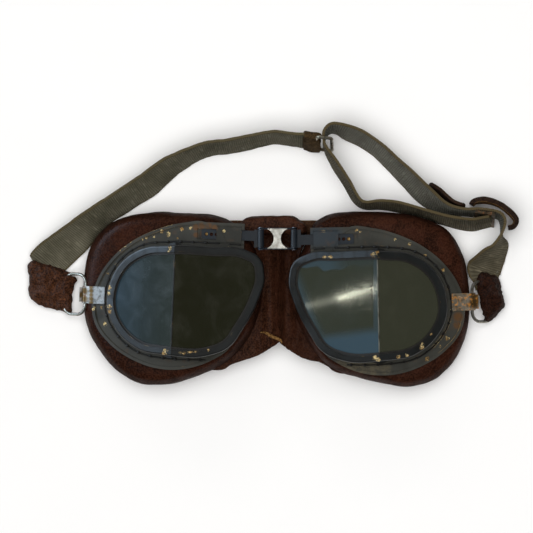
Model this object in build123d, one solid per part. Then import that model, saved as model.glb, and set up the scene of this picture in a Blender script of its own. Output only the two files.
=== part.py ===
from build123d import *
import math
import os

# Aviator flying goggles, lying face up on a table with their strap laid out behind them.
# Millimetres and degrees. X runs across the face to the right, Y up towards the brow,
# Z up from the table. Every eyepiece piece is drawn once, as the right hand one, in a frame
# whose X starts at the middle of the bridge link, and is then placed on its own side.

# Place of the bridge link from the middle of the whole lay
link_x = 3.0
link_y = 7.9

# Each eyepiece lies a little tilted, with its outer end up
right_tilt = 1.2
left_tilt = 2.2
right_lift = -0.9
left_lift = 0.9

# Lens opening
opening_nose_x = 9.2
opening_top_y = -10.0
opening_width = 71.0
opening_height = 47.2
split_share = 0.575
opening_shares = [
    (0.100, 0.985), (0.300, 1.000), (0.600, 1.000), (0.800, 0.955), (0.925, 0.815),
    (0.990, 0.610), (0.995, 0.400), (0.930, 0.205), (0.800, 0.050), (0.600, 0.000),
    (0.330, 0.008), (0.225, 0.072), (0.120, 0.290), (0.035, 0.560), (0.000, 0.800),
    (0.025, 0.925),
]

# Panes, gasket and rim
ridge_height = 34.0
inner_slope = 10.0
outer_slope = 21.0
pane_thickness = 2.6
pane_tuck = 1.2
gasket_wall = 0.8
gasket_lip = 0.8
seat_offset = 2.3
rim_width = 3.7
rim_lip = 0.4
rim_top_wall = 1.2
rim_skirt = 2.5
rim_round = 0.9
ridge_strip_width = 0.7
ridge_strip_proud = 0.4
fit_gap = 0.1
soft_gap = 0.3

# Rim catches: half-oval lugs beside the rim at the split
catch_length = 7.0
catch_reach = 1.4
catch_height = 2.2

# Pressed metal cup
flange_nose_height = 21.5
flange_mid_height = 23.5
flange_temple_height = 10.5
flange_thickness = 1.0
flange_temple_margin = 12.2
flange_top_margin = 15.9
flange_bottom_margin = 10.8
flange_skirt = 3.0
bracket_inset = 7.3
bead_width = 1.4
bead_height = 1.9
cup_wall = 1.7
groove_offset = 5.6
groove_width = 1.0
groove_depth = 0.4
thread_width = 0.6
thread_proud = 0.25
flange_shares = [
    (0.257, 1.000), (0.415, 0.989), (0.573, 0.942), (0.731, 0.861), (0.863, 0.747),
    (0.962, 0.595), (1.000, 0.419), (0.968, 0.277), (0.863, 0.149), (0.705, 0.050),
    (0.534, 0.000), (0.362, 0.005), (0.204, 0.060), (0.070, 0.160), (0.050, 0.450),
    (0.100, 0.800),
]

# Leather cushion and its lining
cushion_nose_gap = 2.7
cushion_temple_margin = 2.2
cushion_top_margin = 5.7
cushion_bottom_margin = 7.0
cushion_top_round = 4.6
cushion_back_round = 3.6
face_opening_inset = 2.0
lining_thickness = 1.5
lining_height = 7.0
cushion_shares = [
    (0.267, 0.995), (0.471, 1.000), (0.675, 0.980), (0.857, 0.918), (0.959, 0.797),
    (0.997, 0.635), (0.999, 0.427), (0.948, 0.242), (0.834, 0.092), (0.687, 0.012),
    (0.539, 0.009), (0.358, 0.060), (0.199, 0.133), (0.079, 0.277), (0.017, 0.450),
    (0.000, 0.635), (0.034, 0.808), (0.125, 0.935),
]

# Adjusting strip and the sleeve it slides in
strip_width = 5.0
strip_thickness = 1.0
strip_rise = 2.1
strip_reach = 38.0
strip_hole = 1.8
strip_hole_pitch = 2.5
strip_hole_count = 3
head_length = 3.4
sleeve_start = 18.0
sleeve_length = 12.4
sleeve_wall = 1.2
sleeve_cover = 0.9
window_length = 9.8
floor_thickness = 1.4
channel_gap = 0.15
spring_thickness = 0.35
spring_width = 3.0
spring_length = 14.0
pip_radius = 0.7

# Bridge link and its two hinge pins
pin_offset = 8.25
pin_radius = 0.8
eye_wall = 0.7
link_width = 10.8
cheek_thickness = 0.8
web_thickness = 1.0
web_half_length = 4.75
waist_half_length = 1.75
pin_head = 0.3

# End clip and the strap ring
clip_share = 0.521
ring_bar_reach = 3.6
ring_wire = 1.6
ring_length = 13.5
ring_width = 20.2
ring_corner = 5.0
right_droop = 42.0
left_droop = 33.0
clip_width = 8.6
clip_length = 10.0
clip_thickness = 0.7
clip_tail = 1.6
clip_tail_width = 7.2

# Folded leather tabs on the rings
left_tab_length = 25.0
left_tab_width = 25.0
left_tab_height = 5.2
right_tab_length = 14.0
right_tab_width = 24.5
right_tab_height = 8.0
tab_round = 0.75
pocket_gap = 0.4
table_gap = 0.3
left_tab_shares = [
    (1.000, 0.960), (0.900, 1.000), (0.740, 0.920), (0.540, 0.880), (0.340, 0.820),
    (0.100, 0.700), (0.000, 0.640), (0.100, 0.500), (0.160, 0.300), (0.200, 0.000),
    (0.420, 0.080), (0.680, 0.120), (0.920, 0.260), (0.960, 0.640),
]
left_tab_ring_share = 0.26
left_tab_middle_share = 0.36
right_tab_shares = [
    (0.000, 0.900), (0.357, 1.000), (0.643, 0.960), (0.857, 0.653), (1.000, 0.408),
    (0.893, 0.245), (0.679, 0.143), (0.357, 0.000), (0.250, 0.245), (0.107, 0.592),
]
right_tab_ring_share = 0.55
right_tab_middle_share = 0.388

# Nose leather, brow pad and brow lining
nose_leather_thickness = 1.8
nose_leather_height = 13.6
nose_fold_height = 1.6
nose_fold_pitch = 5.2
nose_fold_count = 6
nose_seam = 0.5
nose_half_width = 30.0
nose_top_y = 1.5
nose_depth = 66.0
nose_shares = [
    (0.000, 1.000), (1.000, 1.000), (1.000, 0.000), (0.870, 0.000), (0.660, 0.067),
    (0.330, 0.111), (0.180, 0.148), (0.000, 0.222),
]
brow_pad_left = 23.5
brow_pad_right = 14.3
brow_pad_top = 11.5
brow_pad_thickness = 8.4
brow_pad_round = 1.2
brow_pad_shares = [
    (0.000, 0.000), (0.000, 0.550), (0.125, 0.630), (0.210, 0.960), (0.510, 0.990),
    (0.800, 1.000), (0.880, 0.830), (0.920, 0.720), (1.000, 0.000),
]
brow_lining_height = 9.2
brow_lining_thickness = 1.6
brow_lining_reach = 25.0
brow_lining_top = 9.4

# Webbing strap, laid out in shares of the cushion's reach and height
webbing_width = 19.0
webbing_thickness = 1.5
left_webbing_shares = [
    (-1.245, 0.722, 155, 12), (-1.104, 0.846, 126, 32), (-0.957, 0.991, 122, 54),
    (-0.796, 1.111, 119, 55), (-0.700, 1.179, 117, 54), (-0.576, 1.286, 118, 62),
    (-0.407, 1.378, 104, 71), (-0.209, 1.413, 98, 71), (-0.045, 1.451, 90, 73),
    (0.124, 1.435, 84, 71),
]
keeper_shares = [
    (0.128, 1.434, 84, 71), (0.166, 1.428, 84, 71), (0.203, 1.421, 84, 72),
    (0.222, 1.417, 84, 73),
]
right_webbing_shares = [
    (1.070, 0.957, 96, 74), (1.007, 0.948, 84, 73), (0.880, 0.974, 74, 76),
    (0.764, 1.014, 72, 78), (0.637, 1.049, 78, 76), (0.539, 1.064, 84, 78),
    (0.462, 1.060, 66, 80), (0.412, 1.090, 38, 79), (0.357, 1.194, 30, 78),
    (0.291, 1.308, 32, 79), (0.250, 1.384, 30, 84), (0.239, 1.434, 0, 88),
    (0.252, 1.484, 130, 84), (0.294, 1.508, 105, 76), (0.362, 1.482, 80, 69),
    (0.447, 1.439, 66, 68), (0.526, 1.378, 52, 68), (0.616, 1.286, 45, 68),
    (0.695, 1.205, 45, 68), (0.772, 1.124, 48, 70), (0.869, 1.050, 62, 76),
    (0.970, 1.022, 84, 80), (1.076, 1.015, 84, 78), (1.160, 1.002, 50, 80),
    (1.184, 0.957, 20, 82), (1.175, 0.882, 0, 92), (1.160, 0.818, -5, 117),
    (1.134, 0.761, -8, 135), (1.104, 0.710, -6, 149), (1.088, 0.668, -3, 143),
]
backing_shares = [
    (0.790, 1.172, 50, 80), (0.838, 1.136, 50, 78), (0.889, 1.091, 52, 80),
    (0.935, 1.061, 75, 82), (0.985, 1.046, 86, 82),
]
backing_thickness = 1.6
guard_shares = [
    (1.018, 1.058, 150, 89), (1.036, 1.080, 120, 88), (1.086, 1.088, 88, 87),
    (1.144, 1.073, 70, 87), (1.197, 1.040, 58, 87), (1.240, 0.998, 45, 87),
    (1.255, 0.966, 0, 88), (1.239, 0.937, -45, 88), (1.212, 0.929, -90, 89),
]
guard_thickness = 2.6
keeper_thickness = 3.6
loop_wire = 1.6
loop_reach = 7.2
loop_slack = 1.4
loop_shares = (0.222, 1.417, 84, 75)
rise_reach = 24.0
slide_length = 10.0
slide_slack = 1.1
slide_bar = 1.4
slide_shares = (1.088, 0.980, 84, 73)
stitch_width = 1.2
stitch_thickness = 0.6
stitch_margin = 1.9
stitch_shares = (1.030, 0.967, 84, 73)

# One overrun serves every cut
overrun = 5.0

# Loft rows in each span of a band, and how far a face must look up to count as a top
steps_per_span = 3
facing_up_share = 0.8

# Places that follow from the sizes above
tall = ridge_height + pane_thickness + overrun + overrun
split_x = opening_nose_x + split_share * opening_width
temple_x = opening_nose_x + opening_width
opening_bottom_y = opening_top_y - opening_height
flange_left = opening_nose_x + bracket_inset
flange_right = temple_x + flange_temple_margin
flange_top = opening_top_y + flange_top_margin
flange_bottom = opening_bottom_y - flange_bottom_margin
cushion_left = opening_nose_x - cushion_nose_gap
cushion_right = flange_right + cushion_temple_margin
cushion_top = flange_top + cushion_top_margin
cushion_bottom = flange_bottom - cushion_bottom_margin
sleeve_end = sleeve_start + sleeve_length
window_end = sleeve_end + window_length
strip_height = flange_nose_height + strip_rise
strip_top = strip_height + strip_thickness
eye_radius = pin_radius + eye_wall + fit_gap
pin_height = strip_height + eye_radius
cheek_radius = eye_radius + fit_gap
gasket_top = gasket_wall + pane_thickness + gasket_wall
rim_top = gasket_top + rim_top_wall
bracket_low = -opening_top_y - seat_offset
head_width = link_width - 2 * cheek_thickness - 2 * channel_gap
ring_bar_x = flange_right + ring_bar_reach
ring_bar_z = flange_temple_height + fit_gap
ring_y = opening_bottom_y + clip_share * opening_height
roll_radius = ring_wire / 2 + channel_gap + clip_thickness
brow_pad_low = brow_lining_height + brow_lining_thickness + soft_gap
loop_height = webbing_width + loop_wire + loop_slack
loop_rise = loop_wire + soft_gap
slide_height = webbing_width + slide_bar + slide_slack

nodes = {}


def table(shares, left, bottom, width, height):
    """Points of an outline from its shares of a box."""
    return [(left + u * width, bottom + v * height) for u, v in shares]


def smooth_face(points):
    """Flat face inside a closed chain of arcs that meet without a corner."""
    spots = [Vector(*p) for p in points]
    tangents = []
    for a, b, c in zip(spots[-1:] + spots[:-1], spots, spots[1:] + spots[:1]):
        come, go = b - a, c - b
        tangents.append((come / come.length ** 2 + go / go.length ** 2).normalized())
    edges = []
    ends = zip(spots, tangents, spots[1:] + spots[:1], tangents[1:] + tangents[:1])
    for start, leave, end, arrive in ends:
        chord = end - start
        along = chord.dot(leave + arrive)
        bend = 2 * (1 - leave.dot(arrive))
        arm = (math.sqrt(along ** 2 + bend * chord.length ** 2) - along) / bend
        first, second = start + leave * arm, end - arrive * arm
        middle = (first + second) / 2
        edges.append(Edge.make_tangent_arc(start, leave, middle))
        edges.append(Edge.make_tangent_arc(middle, second - first, end))
    return Sketch() + Face(Wire(edges))


def upright(face, height):
    """Block of one height over a flat face."""
    return extrude(face, height, dir=(0, 0, 1))


def prism(face):
    """Upright block over a flat face, taller than everything in the eyepiece."""
    return upright(face, tall)


def box_between(low, high):
    """Box between two corners."""
    size = [b - a for a, b in zip(low, high)]
    middle = [(a + b) / 2 for a, b in zip(low, high)]
    return Pos(*middle) * Box(*size)


def across_y(edges):
    """Block from a closed outline in the XZ plane, run across the whole eyepiece."""
    face = Face(Wire(edges))
    depth = cushion_top - cushion_bottom + overrun + overrun
    block = extrude(face, depth, dir=(0, 1, 0))
    return Pos(0, cushion_bottom - overrun, 0) * block


def closed_lines(points):
    """Straight edges round a list of points."""
    pairs = zip(points, points[1:] + points[:1])
    return [Edge.make_line(a, b) for a, b in pairs]


def arc_points(lift):
    """Nose, middle and temple points of the flange's arc, raised by a lift."""
    start = -overrun
    end = cushion_right + overrun
    return [
        (start, 0, flange_nose_height + lift),
        (split_x - bracket_inset, 0, flange_mid_height + lift),
        (end, 0, flange_temple_height + lift),
    ]


def arc_slab(low, high):
    """Sheet that follows the flange's arc between two lifts."""
    bottom = arc_points(low)
    top = arc_points(high)
    edges = [
        Edge.make_three_point_arc(*bottom),
        Edge.make_line(bottom[2], top[2]),
        Edge.make_three_point_arc(*reversed(top)),
        Edge.make_line(top[0], bottom[0]),
    ]
    return across_y(edges)


def below_arc(lift):
    """Everything from the table up to the flange's arc, raised by a lift."""
    top = arc_points(lift)
    edges = [
        Edge.make_line((top[0][0], 0, 0), (top[2][0], 0, 0)),
        Edge.make_line((top[2][0], 0, 0), top[2]),
        Edge.make_three_point_arc(*reversed(top)),
        Edge.make_line(top[0], (top[0][0], 0, 0)),
    ]
    return across_y(edges)


def arc_height(x):
    """Height of the flange's arc at one place."""
    arc = Edge.make_three_point_arc(*arc_points(0))
    centre = arc.arc_center
    return centre.Z + math.sqrt(arc.radius ** 2 - (x - centre.X) ** 2)


def pane_height(x):
    """Height of the pane seat, which falls away on both sides of the split."""
    slope = inner_slope if x < split_x else outer_slope
    return ridge_height - abs(x - split_x) * math.tan(math.radians(slope))


def pane_slab(low, high):
    """Bent sheet that follows the pane seat between two lifts."""
    places = [-overrun, split_x, cushion_right + overrun]
    bottom = [(x, 0, pane_height(x) + low) for x in places]
    top = [(x, 0, pane_height(x) + high) for x in reversed(places)]
    return across_y(closed_lines(bottom + top))


def ring_of(outer, inner):
    """Upright ring between two flat faces."""
    return prism(outer) - prism(inner)


def place(shape, side):
    """Right hand piece put on its own side of the goggles."""
    if side == "left":
        turned = Rot(0, 0, -left_tilt) * mirror(shape, about=Plane.YZ)
        return Pos(link_x, link_y + left_lift, 0) * turned
    return Pos(link_x, link_y + right_lift, 0) * Rot(0, 0, right_tilt) * shape


def at_link(shape, side):
    """Right hand piece put beside the link, square to it."""
    if side == "left":
        shape = mirror(shape, about=Plane.YZ)
    return Pos(link_x, link_y, 0) * shape


# Flat outlines that the pieces share
opening = smooth_face(table(opening_shares, opening_nose_x, opening_bottom_y,
                            opening_width, opening_height))
flange_points = table(flange_shares, flange_left, flange_bottom,
                      flange_right - flange_left, flange_top - flange_bottom)
cushion_outline = smooth_face(table(cushion_shares, cushion_left, cushion_bottom,
                                    cushion_right - cushion_left, cushion_top - cushion_bottom))
seat = offset(opening, seat_offset)


def flange_outline():
    """Flange seen from above: a smooth outer edge, the bracket end and the rim's skirt."""
    bracket = Rectangle(window_end - flange_left, flange_top + bracket_low,
                        align=(Align.MIN, Align.MIN))
    bracket = Pos(flange_left, -bracket_low) * bracket
    return smooth_face(flange_points) + bracket + offset(opening, flange_skirt)


flange_face = flange_outline()


def make_cup():
    """Pressed cup: flange, rolled edge, standing wall, thread groove and strip sleeve."""
    hole = offset(opening, seat_offset - cup_wall)
    sheet = prism(flange_face) & arc_slab(0, flange_thickness)
    bead = ring_of(flange_face, offset(flange_face, -bead_width)) & arc_slab(0, bead_height)
    wall = prism(seat) & pane_slab(-ridge_height, 0) & arc_slab(0, ridge_height)
    groove_out = offset(opening, groove_offset + groove_width / 2)
    groove_in = offset(opening, groove_offset - groove_width / 2)
    groove = ring_of(groove_out, groove_in)
    groove = groove & arc_slab(flange_thickness - groove_depth, bead_height)
    half = strip_width / 2 + sleeve_wall
    floor_low = strip_height - channel_gap - floor_thickness
    base = box_between((flange_left, -half, floor_low),
                       (window_end + sleeve_wall, half, tall))
    base = base & arc_slab(-overrun, flange_thickness)
    cover_top = strip_top + channel_gap + sleeve_cover
    cover = box_between((sleeve_start, -half, strip_height), (sleeve_end, half, cover_top))
    slot_half = strip_width / 2 + channel_gap
    slot_low = strip_height - channel_gap
    slot_high = strip_top + channel_gap
    channel = box_between((0, -slot_half, slot_low), (window_end, slot_half, slot_high))
    window = box_between((sleeve_end, -slot_half, slot_low), (window_end, slot_half, tall))
    mouth = box_between((0, -slot_half, slot_low), (sleeve_start, slot_half, tall))
    rim_room = ring_of(offset(opening, rim_width + fit_gap), seat)
    rim_room = rim_room & pane_slab(-rim_skirt - fit_gap, rim_top)
    pocket_half = spring_width / 2 + channel_gap
    pocket = box_between((sleeve_end - spring_length / 2 - channel_gap, -pocket_half,
                          slot_low - spring_thickness - channel_gap),
                         (sleeve_end + spring_length / 2 + channel_gap, pocket_half, slot_high))
    body = sheet + bead + wall + base + cover - prism(hole) - groove
    return body - channel - window - mouth - pocket - rim_room - clip_room()


def clip_room():
    """Room left in the rolled edge where the end clip crosses it."""
    half = clip_width / 2 + fit_gap
    block = box_between((ring_bar_x - clip_length, ring_y - half, 0),
                        (ring_bar_x + overrun, ring_y + half, tall))
    return block & arc_slab(flange_thickness, flange_thickness + overrun)


def make_rim():
    """Rounded ring that clamps the panes, with a lip over the gasket."""
    outer = prism(offset(opening, rim_width)) & pane_slab(-rim_skirt, rim_top)
    room = prism(offset(opening, seat_offset + fit_gap)) & pane_slab(-rim_skirt, gasket_top)
    rim = outer - room - prism(offset(opening, rim_lip))
    flats = rim.faces().filter_by(GeomType.PLANE)
    tops = [f for f in flats if f.normal_at().Z > facing_up_share]
    tops = [f for f in tops if f.center().Z > pane_height(f.center().X) + gasket_top + fit_gap]
    edges = [max(face.edges(), key=lambda e: e.length) for face in tops]
    return fillet(edges, rim_round)


def make_gasket():
    """Rubber channel that holds the edge of both panes."""
    ring = ring_of(seat, offset(opening, -gasket_lip)) & pane_slab(0, gasket_top)
    pocket = pane_slab(gasket_wall, gasket_wall + pane_thickness)
    return ring - (prism(offset(opening, pane_tuck)) & pocket)


def make_pane(outer_side):
    """One flat pane, up to the ridge strip."""
    block = pane_slab(gasket_wall, gasket_wall + pane_thickness)
    block = prism(offset(opening, pane_tuck)) & block
    edge = split_x + (ridge_strip_width / 2 if outer_side else -ridge_strip_width / 2)
    far = cushion_right if outer_side else 0
    low = (min(edge, far), cushion_bottom, 0)
    high = (max(edge, far), cushion_top, tall)
    return block & box_between(low, high)


def make_ridge_strip():
    """Thin strip between the two panes, standing a little proud of them."""
    inside = prism(offset(opening, -gasket_lip - fit_gap))
    block = inside & pane_slab(gasket_wall, gasket_wall + pane_thickness + ridge_strip_proud)
    half = ridge_strip_width / 2
    return block & box_between((split_x - half, cushion_bottom, 0),
                               (split_x + half, cushion_top, tall))


def make_catches():
    """Half-oval lugs against the rim at both ends of the split."""
    lugs = Part()
    rim_out = offset(opening, rim_width + fit_gap)
    for y in (opening_top_y + rim_width, opening_bottom_y - rim_width):
        oval = Pos(split_x, y) * Ellipse(catch_length / 2, catch_reach)
        lugs += prism(oval)
    return (lugs - prism(rim_out)) & pane_slab(-rim_skirt, -rim_skirt + catch_height)


def make_lacing():
    """Thread laced through the groove all round the flange."""
    half = thread_width / 2
    ring = ring_of(offset(opening, groove_offset + half), offset(opening, groove_offset - half))
    low = flange_thickness - groove_depth + fit_gap / 2
    thread = ring & arc_slab(low, flange_thickness + thread_proud)
    thread = thread & prism(offset(flange_face, -bead_width - fit_gap))
    sleeve_half = strip_width / 2 + sleeve_wall + fit_gap
    sleeve = box_between((0, -sleeve_half, 0),
                         (window_end + sleeve_wall, cushion_top, tall))
    clip_half = clip_width / 2 + fit_gap
    clip = box_between((ring_bar_x - clip_length - fit_gap, ring_y - clip_half, 0),
                       (ring_bar_x, ring_y + clip_half, tall))
    nose = box_between((-overrun, cushion_bottom, 0),
                       (flange_left + fit_gap, cushion_top, tall))
    return thread - sleeve - clip - nose


def make_click_spring():
    """Leaf spring in the sleeve floor, with the brass pip that clicks into the strip."""
    top = strip_height - channel_gap - fit_gap
    leaf = box_between((sleeve_end - spring_length / 2, -spring_width / 2, top - spring_thickness),
                       (sleeve_end + spring_length / 2, spring_width / 2, top))
    pip_x = strip_reach - strip_hole_pitch
    pip = Cylinder(pip_radius, channel_gap, align=(Align.CENTER, Align.CENTER, Align.MIN))
    return leaf + Pos(pip_x, 0, top) * pip


def make_cushion():
    """Padded leather roll under the flange, crowned outside and drawn in at the back."""
    face_hole = offset(opening, -face_opening_inset)
    body = prism(cushion_outline) & below_arc(-soft_gap)
    back = [e for e in body.edges() if e.center().Z < fit_gap]
    body = fillet([max(back, key=lambda e: e.length)], cushion_back_round)
    bends = body.faces().filter_by(GeomType.CYLINDER)
    crown = max([f for f in bends if f.center().Z > flange_temple_height], key=lambda f: f.area)
    body = fillet(crown.edges(), cushion_top_round)
    half = strip_width / 2 + sleeve_wall + soft_gap
    low = strip_height - channel_gap - floor_thickness - soft_gap
    room = box_between((flange_left - soft_gap, -half, low),
                       (window_end + sleeve_wall + soft_gap, half, tall))
    nose_room = box_between((0, -half, strip_height - soft_gap), (flange_left, half, tall))
    clip_half = clip_width / 2 + soft_gap
    dent = box_between((ring_bar_x - roll_radius - soft_gap, ring_y - clip_half,
                        ring_bar_z - roll_radius - soft_gap),
                       (ring_bar_x + overrun, ring_y + clip_half, tall))
    return body - prism(face_hole) - room - nose_room - dent


def make_lining():
    """Soft lining round the inside of the cushion."""
    outer = offset(opening, -face_opening_inset - soft_gap)
    inner = offset(opening, -face_opening_inset - soft_gap - lining_thickness)
    ring = upright(outer, lining_height) - upright(inner, lining_height)
    return Pos(0, 0, soft_gap) * ring


def make_clip():
    """Steel clip on the temple end, rolled round the ring's bar, with a short tail."""
    start_x = ring_bar_x - clip_length
    knee_x = flange_right + fit_gap
    start = arc_height(start_x) + flange_thickness + fit_gap
    knee = arc_height(knee_x) + flange_thickness + fit_gap
    roll_top = ring_bar_z + roll_radius
    under = [(start_x, start), (knee_x, knee), (ring_bar_x, roll_top - clip_thickness)]
    over = [(x, z + clip_thickness) for x, z in under[:-1]] + [(ring_bar_x, roll_top)]
    points = [(x, 0, z) for x, z in under + over[::-1]]
    plate = extrude(Face(Wire(closed_lines(points))), clip_width, dir=(0, 1, 0))
    plate = Pos(0, ring_y - clip_width / 2, 0) * plate
    spot = Pos(ring_bar_x, ring_y, ring_bar_z) * Rot(90, 0, 0)
    barrel = spot * Cylinder(roll_radius, clip_width)
    bore = spot * Cylinder(roll_radius - clip_thickness, clip_width + overrun)
    tail_half = clip_tail_width / 2
    tail_low = ring_bar_z - roll_radius
    tail = box_between((ring_bar_x, ring_y - tail_half, tail_low),
                       (ring_bar_x + roll_radius + clip_tail, ring_y + tail_half,
                        tail_low + clip_thickness))
    return plate + barrel + tail - bore


def ring_plane(droop):
    """Plane of a strap ring that hangs from its bar by an angle."""
    angle = math.radians(droop)
    outward = (math.cos(angle), 0, -math.sin(angle))
    upward = (math.sin(angle), 0, math.cos(angle))
    return Plane(origin=(ring_bar_x, ring_y, ring_bar_z), x_dir=outward, z_dir=upward)


def make_ring(droop, wire):
    """Wire ring: a rounded rectangle whose inner bar runs in the clip."""
    plane = ring_plane(droop)
    frame = Pos(ring_length / 2, 0) * RectangleRounded(ring_length, ring_width, ring_corner)
    path = (plane * frame).wire()
    start = path @ 0
    section = Plane(origin=start, z_dir=path % 0) * Circle(wire / 2)
    return sweep(section, path=path)


def make_tab(side):
    """Leather tab folded round the ring's outer bar and round the end of the webbing."""
    if side == "left":
        length, width, height = left_tab_length, left_tab_width, left_tab_height
        shares, droop = left_tab_shares, left_droop
        ring_share, middle_share = left_tab_ring_share, left_tab_middle_share
        webbing_shares = left_webbing_shares
    else:
        length, width, height = right_tab_length, right_tab_width, right_tab_height
        shares, droop = right_tab_shares, right_droop
        ring_share, middle_share = right_tab_ring_share, right_tab_middle_share
        webbing_shares = right_webbing_shares
    bar = ring_bar_x + ring_length * math.cos(math.radians(droop))
    points = table(shares, bar - ring_share * length, ring_y - middle_share * width,
                   length, width)
    body = upright(make_face(Polyline(points + points[:1])), height)
    body = Pos(0, 0, table_gap) * fillet(body.edges().filter_by(Axis.Z), tab_round)
    body = body - make_ring(droop, ring_wire + soft_gap + soft_gap)
    pocket = band(webbing_shares, webbing_width + pocket_gap + pocket_gap,
                  webbing_thickness + pocket_gap + pocket_gap, table_gap - pocket_gap, soft_gap)
    return place(body, side) - pocket


def make_strip(side):
    """Adjusting strip: rolled eye and tee head square to the link, shank along the sleeve."""
    barrel = Pos(pin_offset, 0, pin_height) * Rot(90, 0, 0) * Cylinder(eye_radius, head_width)
    head = box_between((pin_offset, -head_width / 2, strip_height),
                       (pin_offset + head_length, head_width / 2, strip_top))
    shank = box_between((pin_offset + head_length / 2, -strip_width / 2, strip_height),
                        (strip_reach, strip_width / 2, strip_top))
    rounded = shank.edges().filter_by(Axis.Z).sort_by(Axis.X)[-2:]
    shank = fillet(rounded, strip_hole / 2)
    for i in range(strip_hole_count):
        x = strip_reach - strip_hole_pitch * (i + 1)
        shank -= Pos(x, 0, strip_height) * Cylinder(strip_hole / 2, overrun)
    bore = Cylinder(pin_radius + fit_gap, link_width)
    bore = Pos(pin_offset, 0, pin_height) * Rot(90, 0, 0) * bore
    return at_link(barrel + head, side) + place(shank, side) - at_link(bore, side)


def make_link():
    """Hourglass plate between two cheeks that carry the hinge pins."""
    half = link_width / 2
    cheeks = Part()
    for y in (-half, half - cheek_thickness):
        plate = box_between((-pin_offset, y, pin_height - cheek_radius),
                            (pin_offset, y + cheek_thickness, pin_height + cheek_radius))
        cheeks += plate
        for x in (-pin_offset, pin_offset):
            spot = Pos(x, y + cheek_thickness / 2, pin_height) * Rot(90, 0, 0)
            cheeks += spot * Cylinder(cheek_radius, cheek_thickness)
    top = pin_height + cheek_radius
    web = box_between((-web_half_length, -half, top - web_thickness),
                      (web_half_length, half, top))
    rise = half - cheek_thickness
    waist = web_half_length - waist_half_length
    bite = (rise ** 2 + waist ** 2) / (2 * waist)
    for sign in (-1, 1):
        centre = sign * (waist_half_length + bite)
        web -= Pos(centre, 0, top) * Cylinder(bite, overrun)
    for x in (-pin_offset, pin_offset):
        spot = Pos(x, 0, pin_height) * Rot(90, 0, 0)
        cheeks -= spot * Cylinder(pin_radius, link_width + overrun)
    return Pos(link_x, link_y, 0) * (cheeks + web)


def make_pin(side):
    """Hinge pin through both cheeks, with a thin head at each end."""
    rod = Pos(pin_offset, 0, pin_height) * Rot(90, 0, 0) * Cylinder(pin_radius, link_width)
    for sign in (-1, 1):
        y = sign * (link_width + pin_head) / 2
        head = Cylinder(pin_radius + pin_head, pin_head)
        rod += Pos(pin_offset, y, pin_height) * Rot(90, 0, 0) * head
    return at_link(rod, side)


def cushion_room():
    """Room that the leather across the nose leaves for both cushions."""
    block = prism(offset(cushion_outline, soft_gap))
    return place(block, "left") + place(block, "right")


def make_nose_leather(side):
    """Half of the leather across the nose, with upright folds and a seam in the middle."""
    crest = nose_leather_height + nose_fold_height
    top = []
    for i in range(nose_fold_count + 1):
        top.append((i * nose_fold_pitch, 0, crest if i % 2 else nose_leather_height))
    bottom = [(x, y, z - nose_leather_thickness) for x, y, z in reversed(top)]
    edges = [
        Edge.make_spline(top),
        Edge.make_line(top[-1], bottom[0]),
        Edge.make_spline(bottom),
        Edge.make_line(bottom[-1], top[0]),
    ]
    wave = across_y(edges)
    plan = table(nose_shares, nose_seam / 2, -nose_depth,
                 nose_half_width - nose_seam / 2, nose_depth + nose_top_y)
    half = wave & prism(make_face(Polyline(plan + plan[:1])))
    return at_link(half, side) - cushion_room()


def make_brow_pad():
    """Crowned pad behind the link."""
    low = nose_top_y + soft_gap
    plan = table(brow_pad_shares, -brow_pad_left, low,
                 brow_pad_left + brow_pad_right, brow_pad_top - low)
    body = upright(make_face(Polyline(plan + plan[:1])), brow_pad_thickness)
    body = Pos(0, 0, brow_pad_low) * body
    top = body.faces().sort_by(Axis.Z)[-1]
    body = fillet(top.edges(), brow_pad_round)
    return Pos(link_x, link_y, 0) * body - cushion_room()


def make_brow_lining():
    """Flat inner leather behind the brow pad."""
    top = brow_lining_height + brow_lining_thickness
    block = box_between((-brow_lining_reach, nose_top_y + soft_gap, brow_lining_height),
                        (brow_lining_reach, brow_lining_top, top))
    return Pos(link_x, link_y, 0) * block - cushion_room()


def strap_spot(u, v):
    """Place on the table from shares of the cushion's reach and height."""
    x = link_x + u * cushion_right
    y = link_y + cushion_bottom + v * (cushion_top - cushion_bottom)
    return x, y


def smooth_rows(rows, steps):
    """Rows with more rows eased in between them."""
    padded = [rows[0]] + rows + [rows[-1]]
    result = []
    for a, b, c, d in zip(padded, padded[1:], padded[2:], padded[3:]):
        for i in range(steps):
            t = i / steps
            row = []
            for p, q, r, s in zip(a, b, c, d):
                curve = 2 * q + (r - p) * t + (2 * p - 5 * q + 4 * r - s) * t ** 2
                row.append((curve + (3 * q - p - 3 * r + s) * t ** 3) / 2)
            result.append(tuple(row))
    return result + [rows[-1]]


def rise_at(x, y):
    """How much a band is lifted here, to pass over the low side of the wire loop."""
    loop_x, loop_y = strap_spot(*loop_shares[:2])
    near = max(0, 1 - math.hypot(x - loop_x, y - loop_y) / rise_reach)
    return loop_rise * (1 - math.cos(math.pi * min(1, near + near))) / 2


def high_edge(turn, lean):
    """Unit step across a band, from its low edge to its high edge."""
    seen = math.cos(math.radians(lean))
    x = seen * math.cos(math.radians(turn))
    y = seen * math.sin(math.radians(turn))
    return x, y, math.sin(math.radians(lean))


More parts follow.
